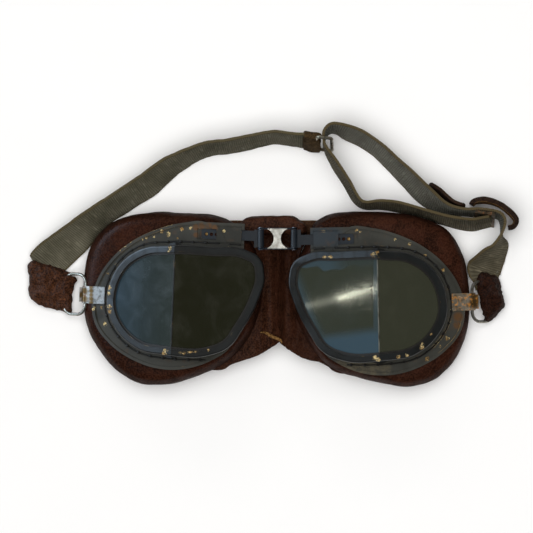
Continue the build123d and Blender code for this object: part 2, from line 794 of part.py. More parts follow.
def band(shares, width, thickness, base, reach=0):
    """Flat band that leans and twists along its way, with its low edge at a base.

    A reach lengthens it at both ends.
    """
    rows = []
    for u, v, turn, lean in shares:
        rows.append((*strap_spot(u, v), *high_edge(turn, lean)))
    rows = smooth_rows(rows, steps_per_span)
    steps = [Vector(*row[2:]).normalized() for row in rows]
    centres = []
    for (x, y, *_), step in zip(rows, steps):
        flat = math.hypot(step.X, step.Y)
        height = (width * step.Z + thickness * flat) / 2
        centres.append(Vector(x, y, base + rise_at(x, y) + height))
    wires = []
    last = len(rows) - 1
    for i, step in enumerate(steps):
        ahead = (centres[min(i + 1, last)] - centres[max(i - 1, 0)]).normalized()
        across = (step - ahead * step.dot(ahead)).normalized()
        half = across * (width / 2)
        skin = ahead.cross(across) * (thickness / 2)
        c = centres[i] + ahead * (reach * ((i == last) - (i == 0)))
        corners = [c - half - skin, c + half - skin, c + half + skin, c - half + skin]
        lift = Vector(0, 0, base + rise_at(c.X, c.Y) - min(corner.Z for corner in corners))
        wires.append(Wire(closed_lines([corner + lift for corner in corners])))
    return Solid.make_loft(wires, ruled=True)


def strap_plane(shares, width, thickness):
    """Plane in the middle of a leaning piece: X along the strap, Y up the piece's width."""
    u, v, turn, lean = shares
    x, y = strap_spot(u, v)
    up = Vector(*high_edge(turn, lean))
    height = table_gap + (width * up.Z + thickness * math.hypot(up.X, up.Y)) / 2
    along = Vector(up.Y, -up.X, 0).normalized()
    return Plane(origin=(x, y, height), x_dir=along, z_dir=along.cross(up))


def make_keeper_loop(wire):
    """Wire loop that stands in the keeper and carries the long webbing."""
    plane = strap_plane(loop_shares, loop_height + loop_wire, loop_wire)
    frame = RectangleRounded(loop_reach, loop_height, loop_wire)
    path = (plane * Pos(loop_reach / 2 - loop_wire, 0) * frame).wire()
    section = Plane(origin=path @ 0, z_dir=path % 0) * Circle(wire / 2)
    return sweep(section, path=path)


def make_keeper():
    """Leather wrapped round the end of the left webbing and the near side of the loop."""
    wrap = band(keeper_shares, webbing_width, keeper_thickness, table_gap)
    return wrap - make_keeper_loop(loop_wire + soft_gap)


def make_slide():
    """Three-bar slide that stands on edge against the webbing."""
    inner = Rectangle(slide_length - 2 * slide_bar, slide_height - 2 * slide_bar)
    frame = Rectangle(slide_length, slide_height) - inner + Rectangle(slide_bar, slide_height)
    body = Pos(0, 0, -slide_bar / 2) * upright(frame, slide_bar)
    return strap_plane(slide_shares, slide_height, slide_bar) * body


def make_stitching():
    """Row of stitches across the webbing, where its end is sewn back."""
    body = Box(stitch_width, webbing_width - stitch_margin - stitch_margin, stitch_thickness)
    return strap_plane(stitch_shares, webbing_width, stitch_thickness) * body


def make_side(side):
    """All pieces of one eyepiece."""
    droop = left_droop if side == "left" else right_droop
    made = {
        "cup": make_cup(),
        "rim": make_rim(),
        "gasket": make_gasket(),
        "inner_pane": make_pane(False),
        "outer_pane": make_pane(True),
        "ridge_strip": make_ridge_strip(),
        "rim_catches": make_catches(),
        "lacing": make_lacing(),
        "click_spring": make_click_spring(),
        "cushion": make_cushion(),
        "face_lining": make_lining(),
        "end_clip": make_clip(),
        "strap_ring": make_ring(droop, ring_wire),
    }
    for name, shape in made.items():
        nodes[side + "_" + name] = place(shape, side)
    nodes[side + "_strap_tab"] = make_tab(side)
    nodes[side + "_strip"] = make_strip(side)
    nodes[side + "_hinge_pin"] = make_pin(side)
    nodes[side + "_nose_leather"] = make_nose_leather(side)


make_side("right")
make_side("left")
nodes["bridge_link"] = make_link()
nodes["brow_pad"] = make_brow_pad()
nodes["brow_lining"] = make_brow_lining()
nodes["left_webbing"] = band(left_webbing_shares, webbing_width, webbing_thickness, table_gap)
nodes["right_webbing"] = band(right_webbing_shares, webbing_width, webbing_thickness, table_gap)
nodes["backing_tab"] = band(backing_shares, webbing_width, backing_thickness, table_gap)
nodes["leather_guard"] = band(guard_shares, webbing_width, guard_thickness, table_gap)
nodes["keeper_loop"] = make_keeper_loop(loop_wire)
nodes["webbing_keeper"] = make_keeper()
nodes["slide_buckle"] = make_slide()
nodes["slide_stitching"] = make_stitching()

os.makedirs("parts", exist_ok=True)
for name, shape in nodes.items():
    export_step(shape, "parts/" + name + ".step")
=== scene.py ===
# %% [markdown]
# # Aviator flying goggles
# A pair of metal goggles lies face up with its strap behind it. The metal pieces come from
# the CAD model and only get a finish here. Everything soft is built again in this script:
# the leather rolls, the leather over the nose, the pads, the tabs and the webbing.

# %% Load the fixed frame
import bpy
import bmesh
import math
from mathutils import Matrix, Vector, noise


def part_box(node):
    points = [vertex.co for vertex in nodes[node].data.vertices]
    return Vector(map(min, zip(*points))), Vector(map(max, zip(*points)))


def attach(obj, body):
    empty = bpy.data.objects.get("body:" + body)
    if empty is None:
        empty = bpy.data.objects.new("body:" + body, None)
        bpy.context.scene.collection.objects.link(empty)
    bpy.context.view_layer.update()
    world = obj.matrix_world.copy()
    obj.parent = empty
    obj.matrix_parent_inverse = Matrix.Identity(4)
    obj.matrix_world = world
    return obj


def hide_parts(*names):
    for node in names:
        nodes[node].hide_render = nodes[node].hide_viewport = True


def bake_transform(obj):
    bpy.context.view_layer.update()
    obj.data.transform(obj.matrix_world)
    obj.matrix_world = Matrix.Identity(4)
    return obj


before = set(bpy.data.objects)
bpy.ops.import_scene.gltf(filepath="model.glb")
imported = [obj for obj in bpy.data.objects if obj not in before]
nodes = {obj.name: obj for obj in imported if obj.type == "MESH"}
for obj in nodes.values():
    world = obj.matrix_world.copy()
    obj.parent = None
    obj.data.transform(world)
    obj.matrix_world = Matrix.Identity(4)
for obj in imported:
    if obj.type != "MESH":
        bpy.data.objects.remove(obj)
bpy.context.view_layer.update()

mm = 0.001
sides = ("left", "right")

# %% [markdown]
# ## Two ways to name a place
# The goggles are nearly the same on both sides, so each soft piece is drawn once for the right
# hand eyepiece, in millimetres from the bridge link, and a matrix puts it on its own side.
# Chips and worn spots are named by where they are seen in a picture taken from above.

# %% Placing
link = Vector((3.0, 7.9, 0.0))
flip = Matrix.Scale(-1, 4, (1, 0, 0))
eyepiece = {
    "right": Matrix.Translation(link + Vector((0, -0.9, 0)))
    @ Matrix.Rotation(math.radians(1.2), 4, "Z"),
    "left": Matrix.Translation(link + Vector((0, 0.9, 0)))
    @ Matrix.Rotation(math.radians(-2.2), 4, "Z") @ flip,
}
by_link = {"right": Matrix.Translation(link), "left": Matrix.Translation(link) @ flip}
picture_middle = (272.5, 254.55)
points_per_metre = 2000


def at_link(side, x, y, z):
    """Place in metres of a point in millimetres from the link."""
    return tuple(by_link[side] @ Vector((x, y, z)) * mm)


def at_eyepiece(side, x, y, z):
    """Place in metres of a point in millimetres on the turned eyepiece."""
    return eyepiece[side] @ Vector((x, y, z)) * mm


def seen_at(px, py):
    """Place in metres under a point of a picture taken from straight above."""
    return ((px - picture_middle[0]) / points_per_metre,
            (picture_middle[1] - py) / points_per_metre)

# %% [markdown]
# ## Camera and light
# The picture is taken from above with a long lens, a few degrees from the right, which moves
# the high pieces a little to the left of the low ones. The light comes from a wide box
# overhead, a cool window on the left and two small strips that glint in one pane.

# %% Camera


def with_settings(thing, **settings):
    """Give a thing its settings by name."""
    for key, value in settings.items():
        setattr(thing, key, value)
    return thing


camera = bpy.data.objects.new("camera", bpy.data.cameras.new("camera"))
bpy.context.collection.objects.link(camera)
bpy.context.scene.camera = camera
aim = Vector((-0.003, -0.006, 0.015))
camera_lean = math.radians(3.2)
camera_way = Vector((math.sin(camera_lean), 0, math.cos(camera_lean)))
camera_distance = 2.485
camera.location = aim + camera_way * camera_distance
camera.rotation_euler = (0, camera_lean, 0)
sensor_width, view_width = 36, 0.2665
with_settings(camera.data, sensor_width=sensor_width, clip_end=50,
              lens=sensor_width * camera_distance / view_width)

# %% Lights
pane_lean = math.radians(10)


def soft_light(name, place, aim, size, power, colour, in_gloss=True, turn=0):
    """Rectangular light at a place, looking at a point and turned about that line."""
    data = with_settings(bpy.data.lights.new(name, "AREA"), shape="RECTANGLE", size=size[0],
                         size_y=size[1], energy=power, color=colour)
    away = (Vector(place) - Vector(aim)).to_track_quat("Z", "Y").to_matrix()
    turned = (away @ Matrix.Rotation(math.radians(turn), 3, "Z")).to_euler()
    lamp = with_settings(bpy.data.objects.new(name, data), location=place,
                         rotation_euler=turned, visible_camera=False, visible_glossy=in_gloss)
    bpy.context.collection.objects.link(lamp)
    return lamp


def glint(name, spot, size, power, turn):
    """Small light placed where the camera sees it mirrored in the right inner pane."""
    normal = Vector((-math.sin(pane_lean), 0, math.cos(pane_lean)))
    sight = (Vector(spot) - camera.location).normalized()
    place = Vector(spot) + sight.reflect(normal)
    soft_light(name, place, spot, size, power, (1.0, 1.0, 0.80), turn=turn)


soft_light("overhead", (0, 0, 1.9), (0, 0, 0), (2.2, 2.2), 45, (1.0, 0.985, 0.965), False)
soft_light("card", (0, 0, 2.8), (0, 0, 0), (0.9, 0.9), 4.0, (1.0, 0.99, 0.97))
window = soft_light("window", (-1.5, 0.55, 0.8), (0, 0, 0), (1.3, 0.6), 26, (0.66, 0.82, 1.0))
window.visible_diffuse = False
soft_light("back", (-0.25, 1.6, 1.0), (0, 0, 0), (1.5, 0.4), 2.5, (1.0, 0.96, 0.9))
glint("glint", (0.0474, -0.0236, 0.031), (0.0016, 0.036), 0.0105, 14)
glint("glint_tail", (0.0345, -0.0268, 0.029), (0.0026, 0.050), 0.0030, 13)

world = bpy.data.worlds.new("studio")
bpy.context.scene.world = world
world.use_nodes = True
background = world.node_tree.nodes["Background"]
background.inputs["Color"].default_value = (0.95, 0.97, 1.0, 1)
background.inputs["Strength"].default_value = 0.10
bpy.context.scene.view_settings.view_transform = "Standard"
print("lens:", round(camera.data.lens, 1), "mm")

# %% [markdown]
# ## Building blocks for finishes
# Every finish is a small graph of nodes. These helpers add one node each and hand back its
# output, so a finish reads from top to bottom. An output knows the graph that it belongs to,
# so only the first step names the finish. All patterns are read from the piece's own place
# in metres, which keeps their scale true on every piece.

# %% Node helpers
Socket = bpy.types.NodeSocket
finishes = {}


def add(tree, kind, inputs=(), **settings):
    """One node, with its inputs by number or name and its settings by name."""
    node = with_settings(tree.nodes.new("ShaderNode" + kind), **settings)
    for key, value in dict(inputs).items():
        if isinstance(value, Socket):
            tree.links.new(value, node.inputs[key])
        else:
            node.inputs[key].default_value = value
    return node


def finish_named(name, colour, roughness, **sockets):
    """New finish with its constants on the shader; gives the piece's own coordinates."""
    material = finishes[name] = bpy.data.materials.new(name)
    material.use_nodes = True
    shader = material.node_tree.nodes["Principled BSDF"]
    shader.inputs["Base Color"].default_value = (*colour, 1)
    shader.inputs["Roughness"].default_value = roughness
    for socket, value in sockets.items():
        shader.inputs[socket.replace("_", " ")].default_value = value
    material.diffuse_color = (*colour, 1)
    return add(material.node_tree, "TexCoord").outputs["Object"]


def to_shader(socket, output):
    """Wire an output to a socket of the shader in its graph."""
    tree = output.id_data
    tree.links.new(output, tree.nodes["Principled BSDF"].inputs[socket])


def stretched(where, scale):
    """Coordinates stretched along their axes."""
    return add(where.id_data, "Mapping", {"Vector": where, "Scale": scale}).outputs[0]


def axis_of(vector, axis):
    """One part of a vector."""
    return add(vector.id_data, "SeparateXYZ", {0: vector}).outputs[axis]


def normal_of(where):
    """The way that each spot of the piece faces."""
    return add(where.id_data, "NewGeometry").outputs["Normal"]


def cloud(where, scale, detail, rough=0.55, distortion=0.0):
    """Soft noise; the scale is patches per metre."""
    return add(where.id_data, "TexNoise", {
        "Vector": where, "Scale": scale, "Detail": detail, "Roughness": rough,
        "Distortion": distortion}).outputs["Fac"]

# %% Arithmetic in a graph


def step(value, low, high, start=0.0, end=1.0):
    """Value eased from one level to another."""
    return add(value.id_data, "MapRange", {0: value, 1: low, 2: high, 3: start, 4: end},
               interpolation_type="SMOOTHSTEP").outputs[0]


def maths(operation, first, *others):
    """One value from outputs and numbers, taken in order."""
    for other in others or (0.0,):
        tree = (first if isinstance(first, Socket) else other).id_data
        first = add(tree, "Math", {0: first, 1: other}, operation=operation).outputs[0]
    return first


def times(*values):
    """Product of outputs and numbers."""
    return maths("MULTIPLY", *values)


def plus(*values):
    """Sum of outputs and numbers."""
    return maths("ADD", *values)


def most(*values):
    """Largest of outputs and numbers."""
    return maths("MAXIMUM", *values)


def blend(share, under, over):
    """Two colours mixed by a share."""
    under, over = [c if isinstance(c, Socket) else (*c, 1) for c in (under, over)]
    return add(share.id_data, "Mix", {0: share, 6: under, 7: over}, data_type="RGBA").outputs[2]


def relief(height, depth, under=None):
    """Bump of a depth in metres, on top of an earlier one."""
    inputs = {"Height": height, "Distance": depth, "Strength": 1.0}
    if under is not None:
        inputs["Normal"] = under
    return add(height.id_data, "Bump", inputs).outputs[0]

# %% Where a finish is worn


def sharp_edges(where, radius, low, high):
    """Share of wear along outside edges, from how far a rounded normal turns away."""
    tree = where.id_data
    rounded_normal = add(tree, "Bevel", {"Radius": radius}, samples=6).outputs[0]
    turned = add(tree, "VectorMath", {0: rounded_normal, 1: normal_of(where)},
                 operation="DOT_PRODUCT").outputs["Value"]
    return step(turned, high, low)


def near_spots(where, spots):
    """Share that is one at each spot seen from above and fades out by its radius."""
    tree = where.id_data
    flat = add(tree, "VectorMath", {0: where, 1: (1, 1, 0)}, operation="MULTIPLY").outputs[0]
    shares = []
    for px, py, radius in spots:
        gap = add(tree, "VectorMath", {0: flat, 1: (*seen_at(px, py), 0)},
                  operation="DISTANCE").outputs["Value"]
        shares.append(step(gap, radius * mm, radius * mm * 0.35))
    return most(*shares)

# %% [markdown]
# ## Metal finishes
# The cups and rims are brass under dark paint. The paint has gone thin and grey, and it is
# chipped through to bright brass where something rubbed: at the split of each rim, beside the
# clips and along the upper edge of the flange. The chips are noise that only shows near the
# listed spots, and a thin line along the sharp edges. Other spots say where the paint is
# thinner or rusty; the bluer spots are a painted sheen and a painted reflection, and the
# darker ones are painted shade. Each is a place in the picture with a radius in millimetres.

# %% Chipped, rubbed and rusty spots, and spots of painted sheen, reflection and shade
flange_chips = [
    (169.4, 233.9, 2.0), (162.5, 231.6, 1.4), (154.5, 236.8, 1.2), (183, 229.5, 1.4),
    (191.7, 228.2, 1.3), (178.6, 238.5, 0.8), (107.5, 273.5, 0.9), (93, 309, 1.6),
    (104.6, 323.9, 1.5), (225.5, 231, 1.2), (101, 308, 1.2), (147, 238, 0.9),
    (395.6, 239.7, 1.0), (409.9, 244.2, 1.3), (425.4, 255.9, 1.2), (443.2, 270, 1.2),
    (427.1, 358.3, 1.5), (447.2, 338.3, 1.6), (356.8, 230.6, 1.3), (361, 232, 0.9),
    (143, 239.5, 0.7), (440, 346, 1.2), (452, 310, 1.4), (120, 251, 0.8), (125.3, 246.1, 0.9),
    (130.5, 241.8, 0.9), (135.6, 238.3, 0.9), (141, 235.3, 0.8), (151.6, 230.7, 0.8),
    (157, 228.6, 0.9), (162.1, 226.9, 0.9), (168, 225.2, 0.8), (172.6, 224.3, 0.8),
]
rim_chips = [
    (173.4, 248.0, 1.3), (172.8, 251.5, 1.2), (110.9, 288.0, 1.7), (109.6, 293.0, 1.7),
    (110.8, 306.5, 1.8), (111.3, 311.5, 1.7), (168.8, 350.0, 1.6), (167.5, 353.0, 1.7),
    (187, 352.5, 1.2), (193, 350.6, 1.9), (198.5, 350.0, 1.6), (183.5, 352, 1.0),
    (211.2, 349, 1.2), (374.4, 254.5, 1.6), (375.0, 258.0, 1.3), (379, 253.0, 1.6),
    (326, 257.8, 1.6), (332, 257.6, 1.8), (376.7, 356.4, 1.8), (379.5, 358.5, 1.7),
    (399.6, 356, 1.4), (408, 354.3, 1.2), (422.5, 346.9, 1.6), (423.0, 343.5, 1.2),
    (431.7, 333.7, 0.9),
]
thin_paint = [
    (342, 364.5, 4.5), (352, 366.5, 5.0), (363, 368, 5.0), (374, 368.5, 5.0), (386, 368, 4.0),
]
rubbed_edge = [(118, 241, 7), (126, 235, 7), (135, 230, 7), (145, 226, 7), (156, 223.5, 7),
               (166, 222, 5), (454, 325, 6), (448, 335, 6), (440, 343, 6)]
rust = [(197, 227.5, 2.2), (203, 226.2, 2.4), (210, 226.2, 2.4), (216, 228, 2.2), (197, 235, 1.8),
        (458, 317, 3.5), (457, 325, 2.6), (205, 234, 2.6), (212, 235, 2.2)]
# Painted sheen: bluer paint on the right sleeve stands for the highlight that it shows.
sleeve_sheen_spots = [(318, 237.5, 7.5), (326, 237.5, 7.5), (334, 237.5, 7.5)]
# Painted reflection: pale blue on the rims' upper left arcs and along the right rim's top stands
# for the cool window reflected there.
rim_reflection_spots = [(111, 275, 4.5), (118, 261, 5), (128, 253, 5), (140, 249, 5), (154, 247.5, 5),
            (166, 248, 4), (110, 288, 4), (110, 303, 4), (302, 257, 4), (312, 255.5, 5),
            (325, 255, 5), (338, 255, 5), (350, 254.5, 5), (362, 254, 5), (373, 254, 3)]
# Painted shade: darker paint beside the left sleeve and on the left flange near its clip.
painted_shade_spots = [(206, 238, 5.0), (218, 236, 7.5), (229, 236, 7.5), (239, 237, 6.0), (95, 300, 4.0),
              (98, 315, 4.0)]
# Colours of the painted sheen on the right sleeve and of the painted shade.
sheen_blue_tone, painted_shade_tone = (0.021, 0.028, 0.034), (0.022, 0.022, 0.018)
# The first tone is a painted reflection of the cool window.
reflected_blue_tone, thin_tone = (0.033, 0.046, 0.060), (0.12, 0.10, 0.058)
rust_tone, brown_tone = (0.085, 0.042, 0.016), (0.15, 0.092, 0.036)
bright_brass, dull_brass = (0.72, 0.56, 0.27), (0.34, 0.19, 0.055)

# %% Painted brass


def painted(name, dark, light, sheen, chips=(), rusty=0.0, patches=False, gloss=0.45,
            dull=0.38, window_reflection=()):
    """Old paint over brass, with chips and rubbed edges, and spots of painted sheen, reflection
    and shade.
    """
    where = finish_named(name, light, 0.5, Specular_IOR_Level=gloss)
    broad, fine = cloud(where, 55, 5), cloud(where, 900, 3)
    coat = blend(step(broad, 0.35, 0.65), dark, light)
    coat = blend(times(step(fine, 0.55, 0.8), 0.5), coat, sheen)
    dirt = times(step(cloud(where, 260, 5), 0.56, 0.72), rusty)
    patch = step(cloud(where, 140, 5, 0.7), 0.60, 0.68)
    # Painted reflection of the cool window: pale blue on the listed spots of a rim.
    if window_reflection:
        coat = blend(times(near_spots(where, window_reflection), step(broad, 0.2, 0.8, 0.55, 1.0)), coat,
                     reflected_blue_tone)
    if patches:
        mottle = cloud(where, 420, 6, 0.7)
        # Painted sheen: a bluer colour on the right sleeve.
        coat = blend(near_spots(where, sleeve_sheen_spots), coat, sheen_blue_tone)
        # Painted shade: darker paint beside the left sleeve and near the left clip.
        coat = blend(near_spots(where, painted_shade_spots), coat, painted_shade_tone)
        thin = times(near_spots(where, thin_paint), step(mottle, 0.30, 0.62), 0.6)
        coat = blend(thin, coat, thin_tone)
        dirt = most(dirt, times(near_spots(where, rust), step(mottle, 0.34, 0.5, 0.3, 1.0)))
        patch = most(patch, times(near_spots(where, rubbed_edge), step(mottle, 0.36, 0.44)))
    bare = times(sharp_edges(where, 0.35 * mm, 0.80, 0.97), patch, 0.8)
    if chips:
        spots = near_spots(where, chips)
        speck = plus(cloud(where, 1100, 6, 0.75, 0.6), times(spots, 0.13))
        bare = most(times(step(spots, 0.02, 0.2), step(speck, 0.60, 0.625)), bare)
    brass = blend(step(cloud(where, 300, 3), 0.4, 0.6), bright_brass, dull_brass)
    to_shader("Base Color", blend(bare, blend(dirt, coat, rust_tone), brass))
    to_shader("Metallic", times(bare, 0.45))
    to_shader("Roughness", step(broad, 0.3, 0.7, dull, dull + 0.16))
    to_shader("Normal", relief(maths("SUBTRACT", 1.0, bare), 0.00005, relief(fine, 0.00002)))


painted("cup_enamel", (0.026, 0.026, 0.021), (0.044, 0.044, 0.037), (0.057, 0.058, 0.052),
        flange_chips, 0.25, True, gloss=0.35, dull=0.46)
painted("rim_enamel", (0.0055, 0.0062, 0.0058), (0.0085, 0.0100, 0.0100), (0.016, 0.021, 0.024),
        rim_chips, 0.05, gloss=0.5, dull=0.30, window_reflection=rim_reflection_spots)
painted("strip_enamel", (0.007, 0.010, 0.014), (0.012, 0.017, 0.023), (0.022, 0.028, 0.036),
        rusty=0.1)
painted("catch_enamel", (0.006, 0.006, 0.005), (0.011, 0.011, 0.010), (0.018, 0.018, 0.016))

# %% Bare and rusty steel


def bare_metal(name, colour, tarnish, rust_share, roughness, scale=260, brown=(),
               rust_colour=(0.20, 0.075, 0.018)):
    """Worn plate: bright metal, tarnish in clouds and rust in small spots."""
    where = finish_named(name, colour, roughness, Metallic=1.0)
    broad = cloud(where, scale, 6, 0.65)
    worn = blend(step(broad, 0.42, 0.66), colour, tarnish)
    if brown:
        worn = blend(times(near_spots(where, brown), step(broad, 0.2, 0.5, 0.5, 1.0)), worn,
                     brown_tone)
    pits = step(cloud(where, 620, 6, 0.7), 0.62 - 0.22 * rust_share, 0.72 - 0.18 * rust_share)
    worn = blend(pits, worn, rust_colour)
    to_shader("Base Color", worn)
    to_shader("Metallic", step(pits, 0.0, 1.0, 0.95, 0.15))
    to_shader("Roughness", step(broad, 0.3, 0.7, roughness, roughness + 0.28))
    to_shader("Normal", relief(cloud(where, 2200, 3), 0.00002, relief(pits, 0.00006)))
    return where, worn


left_clip_brown = [(90.5, py, 1.7) for py in (287, 291, 295, 299, 303)] + [
    (83, 291, 2.6), (83, 299, 2.6), (80, 295, 2.4)]
right_clip_brown = [(474, 296, 3.8), (474, 303, 3.8), (477, 300, 3.4)]
for row in (
    ("left_clip_steel", (0.44, 0.43, 0.41), (0.17, 0.165, 0.15), 0.22, 0.30, 420,
     left_clip_brown),
    ("right_clip_steel", (0.62, 0.54, 0.42), (0.36, 0.28, 0.19), 0.62, 0.42, 300,
     right_clip_brown, (0.42, 0.17, 0.022)),
    ("worn_ring_steel", (0.36, 0.345, 0.30), (0.17, 0.155, 0.12), 0.15, 0.24),
    ("seam_steel", (0.34, 0.33, 0.27), (0.18, 0.165, 0.125), 0.1, 0.45),
    ("loop_steel", (0.34, 0.31, 0.24), (0.14, 0.12, 0.08), 0.2, 0.3),
    ("slide_steel", (0.16, 0.12, 0.075), (0.05, 0.035, 0.022), 0.5, 0.42),
    ("spring_brass", (0.70, 0.46, 0.17), (0.34, 0.19, 0.07), 0.3, 0.3),
    ("pin_steel", (0.40, 0.42, 0.46), (0.10, 0.11, 0.13), 0.2, 0.3),
):
    bare_metal(*row)

# %% [markdown]
# The link is bright steel on the top of its web, between the pins. All its other faces are
# given a dark colour, which is painted shade. The bright part is chosen by the direction that a
# face looks in, and by its place between the pins.

# %% Link steel

where, bright_top_metal = bare_metal("link_steel_with_painted_shade", (1.0, 0.975, 0.885), (0.80, 0.745, 0.62),
                             0.05, 0.30, 420)
off_x, off_y = [maths("ABSOLUTE", plus(axis_of(where, axis), -middle * mm))
                for axis, middle in (("X", link.x), ("Y", link.y))]
unshaded_web_share = times(step(axis_of(normal_of(where), "Z"), 0.9, 0.98), step(off_x, 0.0052, 0.0045),
               step(off_y, 0.0053, 0.0046))
# Painted shade: every face except the upward web between the pins gets a dark colour.
to_shader("Base Color", blend(unshaded_web_share, (0.030, 0.036, 0.045), bright_top_metal))

# %% Rubber

grime = cloud(finish_named("rubber_channel", (0.012, 0.012, 0.012), 0.62), 400, 5)
to_shader("Base Color", blend(grime, (0.006, 0.006, 0.006), (0.024, 0.022, 0.019)))
to_shader("Normal", relief(grime, 0.00004))
print("metal and rubber finishes:", list(finishes))

# %% [markdown]
# ## Panes
# The panes are dark tinted glass made of two layers, and the glue between the layers has
# gone cloudy. The left outer pane has a blue-grey haze, which is partly that cloudy glue and
# partly a painted reflection of the cool window, and the right inner one is blue along its
# top, its bottom and the nose edge. Each pane is one glass finish with its own haze, and fine
# scratches break up the gloss.

# %% Pane glass


def pane_glass(name, tint, haze, haze_share, gloss=0.06, smudge=0.10, split=None, scuffs=None):
    """Dark glass over cloudy glue, with dull grit beside the split and pale scuffs."""
    where = finish_named(name, tint, gloss, IOR=1.5, Transmission_Weight=0.35)
    smear = cloud(where, 90, 6, 0.6, 0.6)
    scratch = step(cloud(stretched(where, (1, 6, 1)), 700, 3, 0.8), 0.62, 0.74)
    share = haze_share(where, smear)
    colour = blend(share, tint, haze)
    if scuffs is not None:
        patch = step(cloud(where, 120, 4, 0.6), 0.50, 0.72)
        hair = step(cloud(stretched(where, (1, 2.5, 1)), 900, 5, 0.75), 0.50, 0.72)
        colour = blend(times(patch, hair, 0.8), colour, scuffs)
    dull = plus(step(smear, 0.35, 0.75, gloss, gloss + smudge), times(scratch, smudge))
    if split is not None:
        grit = step(cloud(where, 1300, 2, 0.6), 0.50, 0.58, 0.0, 0.16)
        off = maths("ABSOLUTE", plus(axis_of(where, "Y"), 0.0205))
        dull = plus(dull, times(grit, step(axis_of(where, "X"), split - 0.009, split - 0.003),
                                step(off, 0.008, 0.004)))
    to_shader("Base Color", colour)
    to_shader("Roughness", dull)
    to_shader("Transmission Weight", step(share, 0.0, 1.0, 0.35, 0.02))


def plain_haze(where, smear):
    """A faint even haze."""
    return step(smear, 0.45, 0.8, 0.0, 0.35)


def left_haze_and_reflection(where, smear):
    """Haze that is strong to the left: partly cloudy glue, partly a painted reflection of the cool
    window.
    """
    return times(step(axis_of(where, "X"), -0.047, -0.083), step(smear, 0.2, 0.7, 0.7, 1.0))


def right_haze(where, smear):
    """Haze in a ragged patch at the top, a band at the bottom and along the nose edge."""
    x, y = axis_of(where, "X"), axis_of(where, "Y")
    ragged = plus(y, step(cloud(where, 62, 2), 0.2, 0.8, -0.0026, 0.0026))
    below = step(plus(y, times(x, -0.13)), -0.0405, -0.0475, 0.0, 0.95)
    above = times(step(ragged, -0.0078, -0.0064), step(x, 0.040, 0.028, 0.25, 0.70))
    nose = step(plus(x, times(ragged, 0.45)), 0.0125, 0.0035, 0.0, 0.80)
    middle = step(smear, 0.3, 0.8, 0.0, 0.10)
    beside_split = step(x, 0.0508, 0.0516, 0.0, 0.5)
    return most(middle, beside_split, below, above, nose)


# The left outer pane's blue-grey haze is partly a painted reflection of the cool window.
pane_glass("left_outer_glass", (0.029, 0.042, 0.038), (0.022, 0.044, 0.066), left_haze_and_reflection, 0.16,
           scuffs=(0.10, 0.135, 0.14))
pane_glass("left_inner_glass", (0.014, 0.0145, 0.0045), (0.022, 0.022, 0.009), plain_haze)
pane_glass("right_inner_glass", (0.044, 0.052, 0.036), (0.037, 0.068, 0.094), right_haze, 0.032,
           0.010, 0.0525, (0.07, 0.09, 0.075))
pane_glass("right_outer_glass", (0.046, 0.049, 0.030), (0.058, 0.059, 0.038), plain_haze, 0.12)
print("panes:", [name for name in finishes if "glass" in name])

# %% [markdown]
# ## Leather, felt, thread and webbing
# Leather is a pebbled skin of cells with longer creases over it. High spots are rubbed shiny
# and lighter, and creases are darker. The webbing is woven: its cross ribs follow the
# length of the strap, so its pattern reads two values stored on the mesh, the way along and
# the way across, instead of the place in space.

# %% Leather


def leather(name, dark, light, worn, roughness, crease, worn_from, depth=0.55, gloss=0.12):
    """Grained leather with creases of a depth in millimetres and rubbed spots."""
    where = finish_named(name, light, roughness, Specular_IOR_Level=gloss)
    pebble = add(where.id_data, "TexVoronoi", {"Vector": where, "Scale": 1500},
                 feature="SMOOTH_F1").outputs["Distance"]
    folds = cloud(where, crease, 7, 0.62, 0.8)
    body = blend(step(cloud(where, 38, 4), 0.36, 0.66), dark, light)
    # Darker in the creases.
    body = blend(step(folds, 0.52, 0.36, 0.0, 0.75), body, [0.35 * c for c in dark])
    body = blend(step(pebble, 0.25, 0.6, 0.0, 0.35), body, worn)
    rub = step(cloud(where, 210, 8, 0.72), worn_from, worn_from + 0.10)
    to_shader("Base Color", blend(rub, body, worn))
    dusty = step(axis_of(normal_of(where), "Z"), 0.80, 0.25, 0.0, 0.35)
    to_shader("Roughness", plus(dusty, step(folds, 0.3, 0.7, roughness + 0.16,
                                            roughness - 0.05)))
    to_shader("Normal", relief(folds, depth * mm, relief(pebble, 0.00010)))


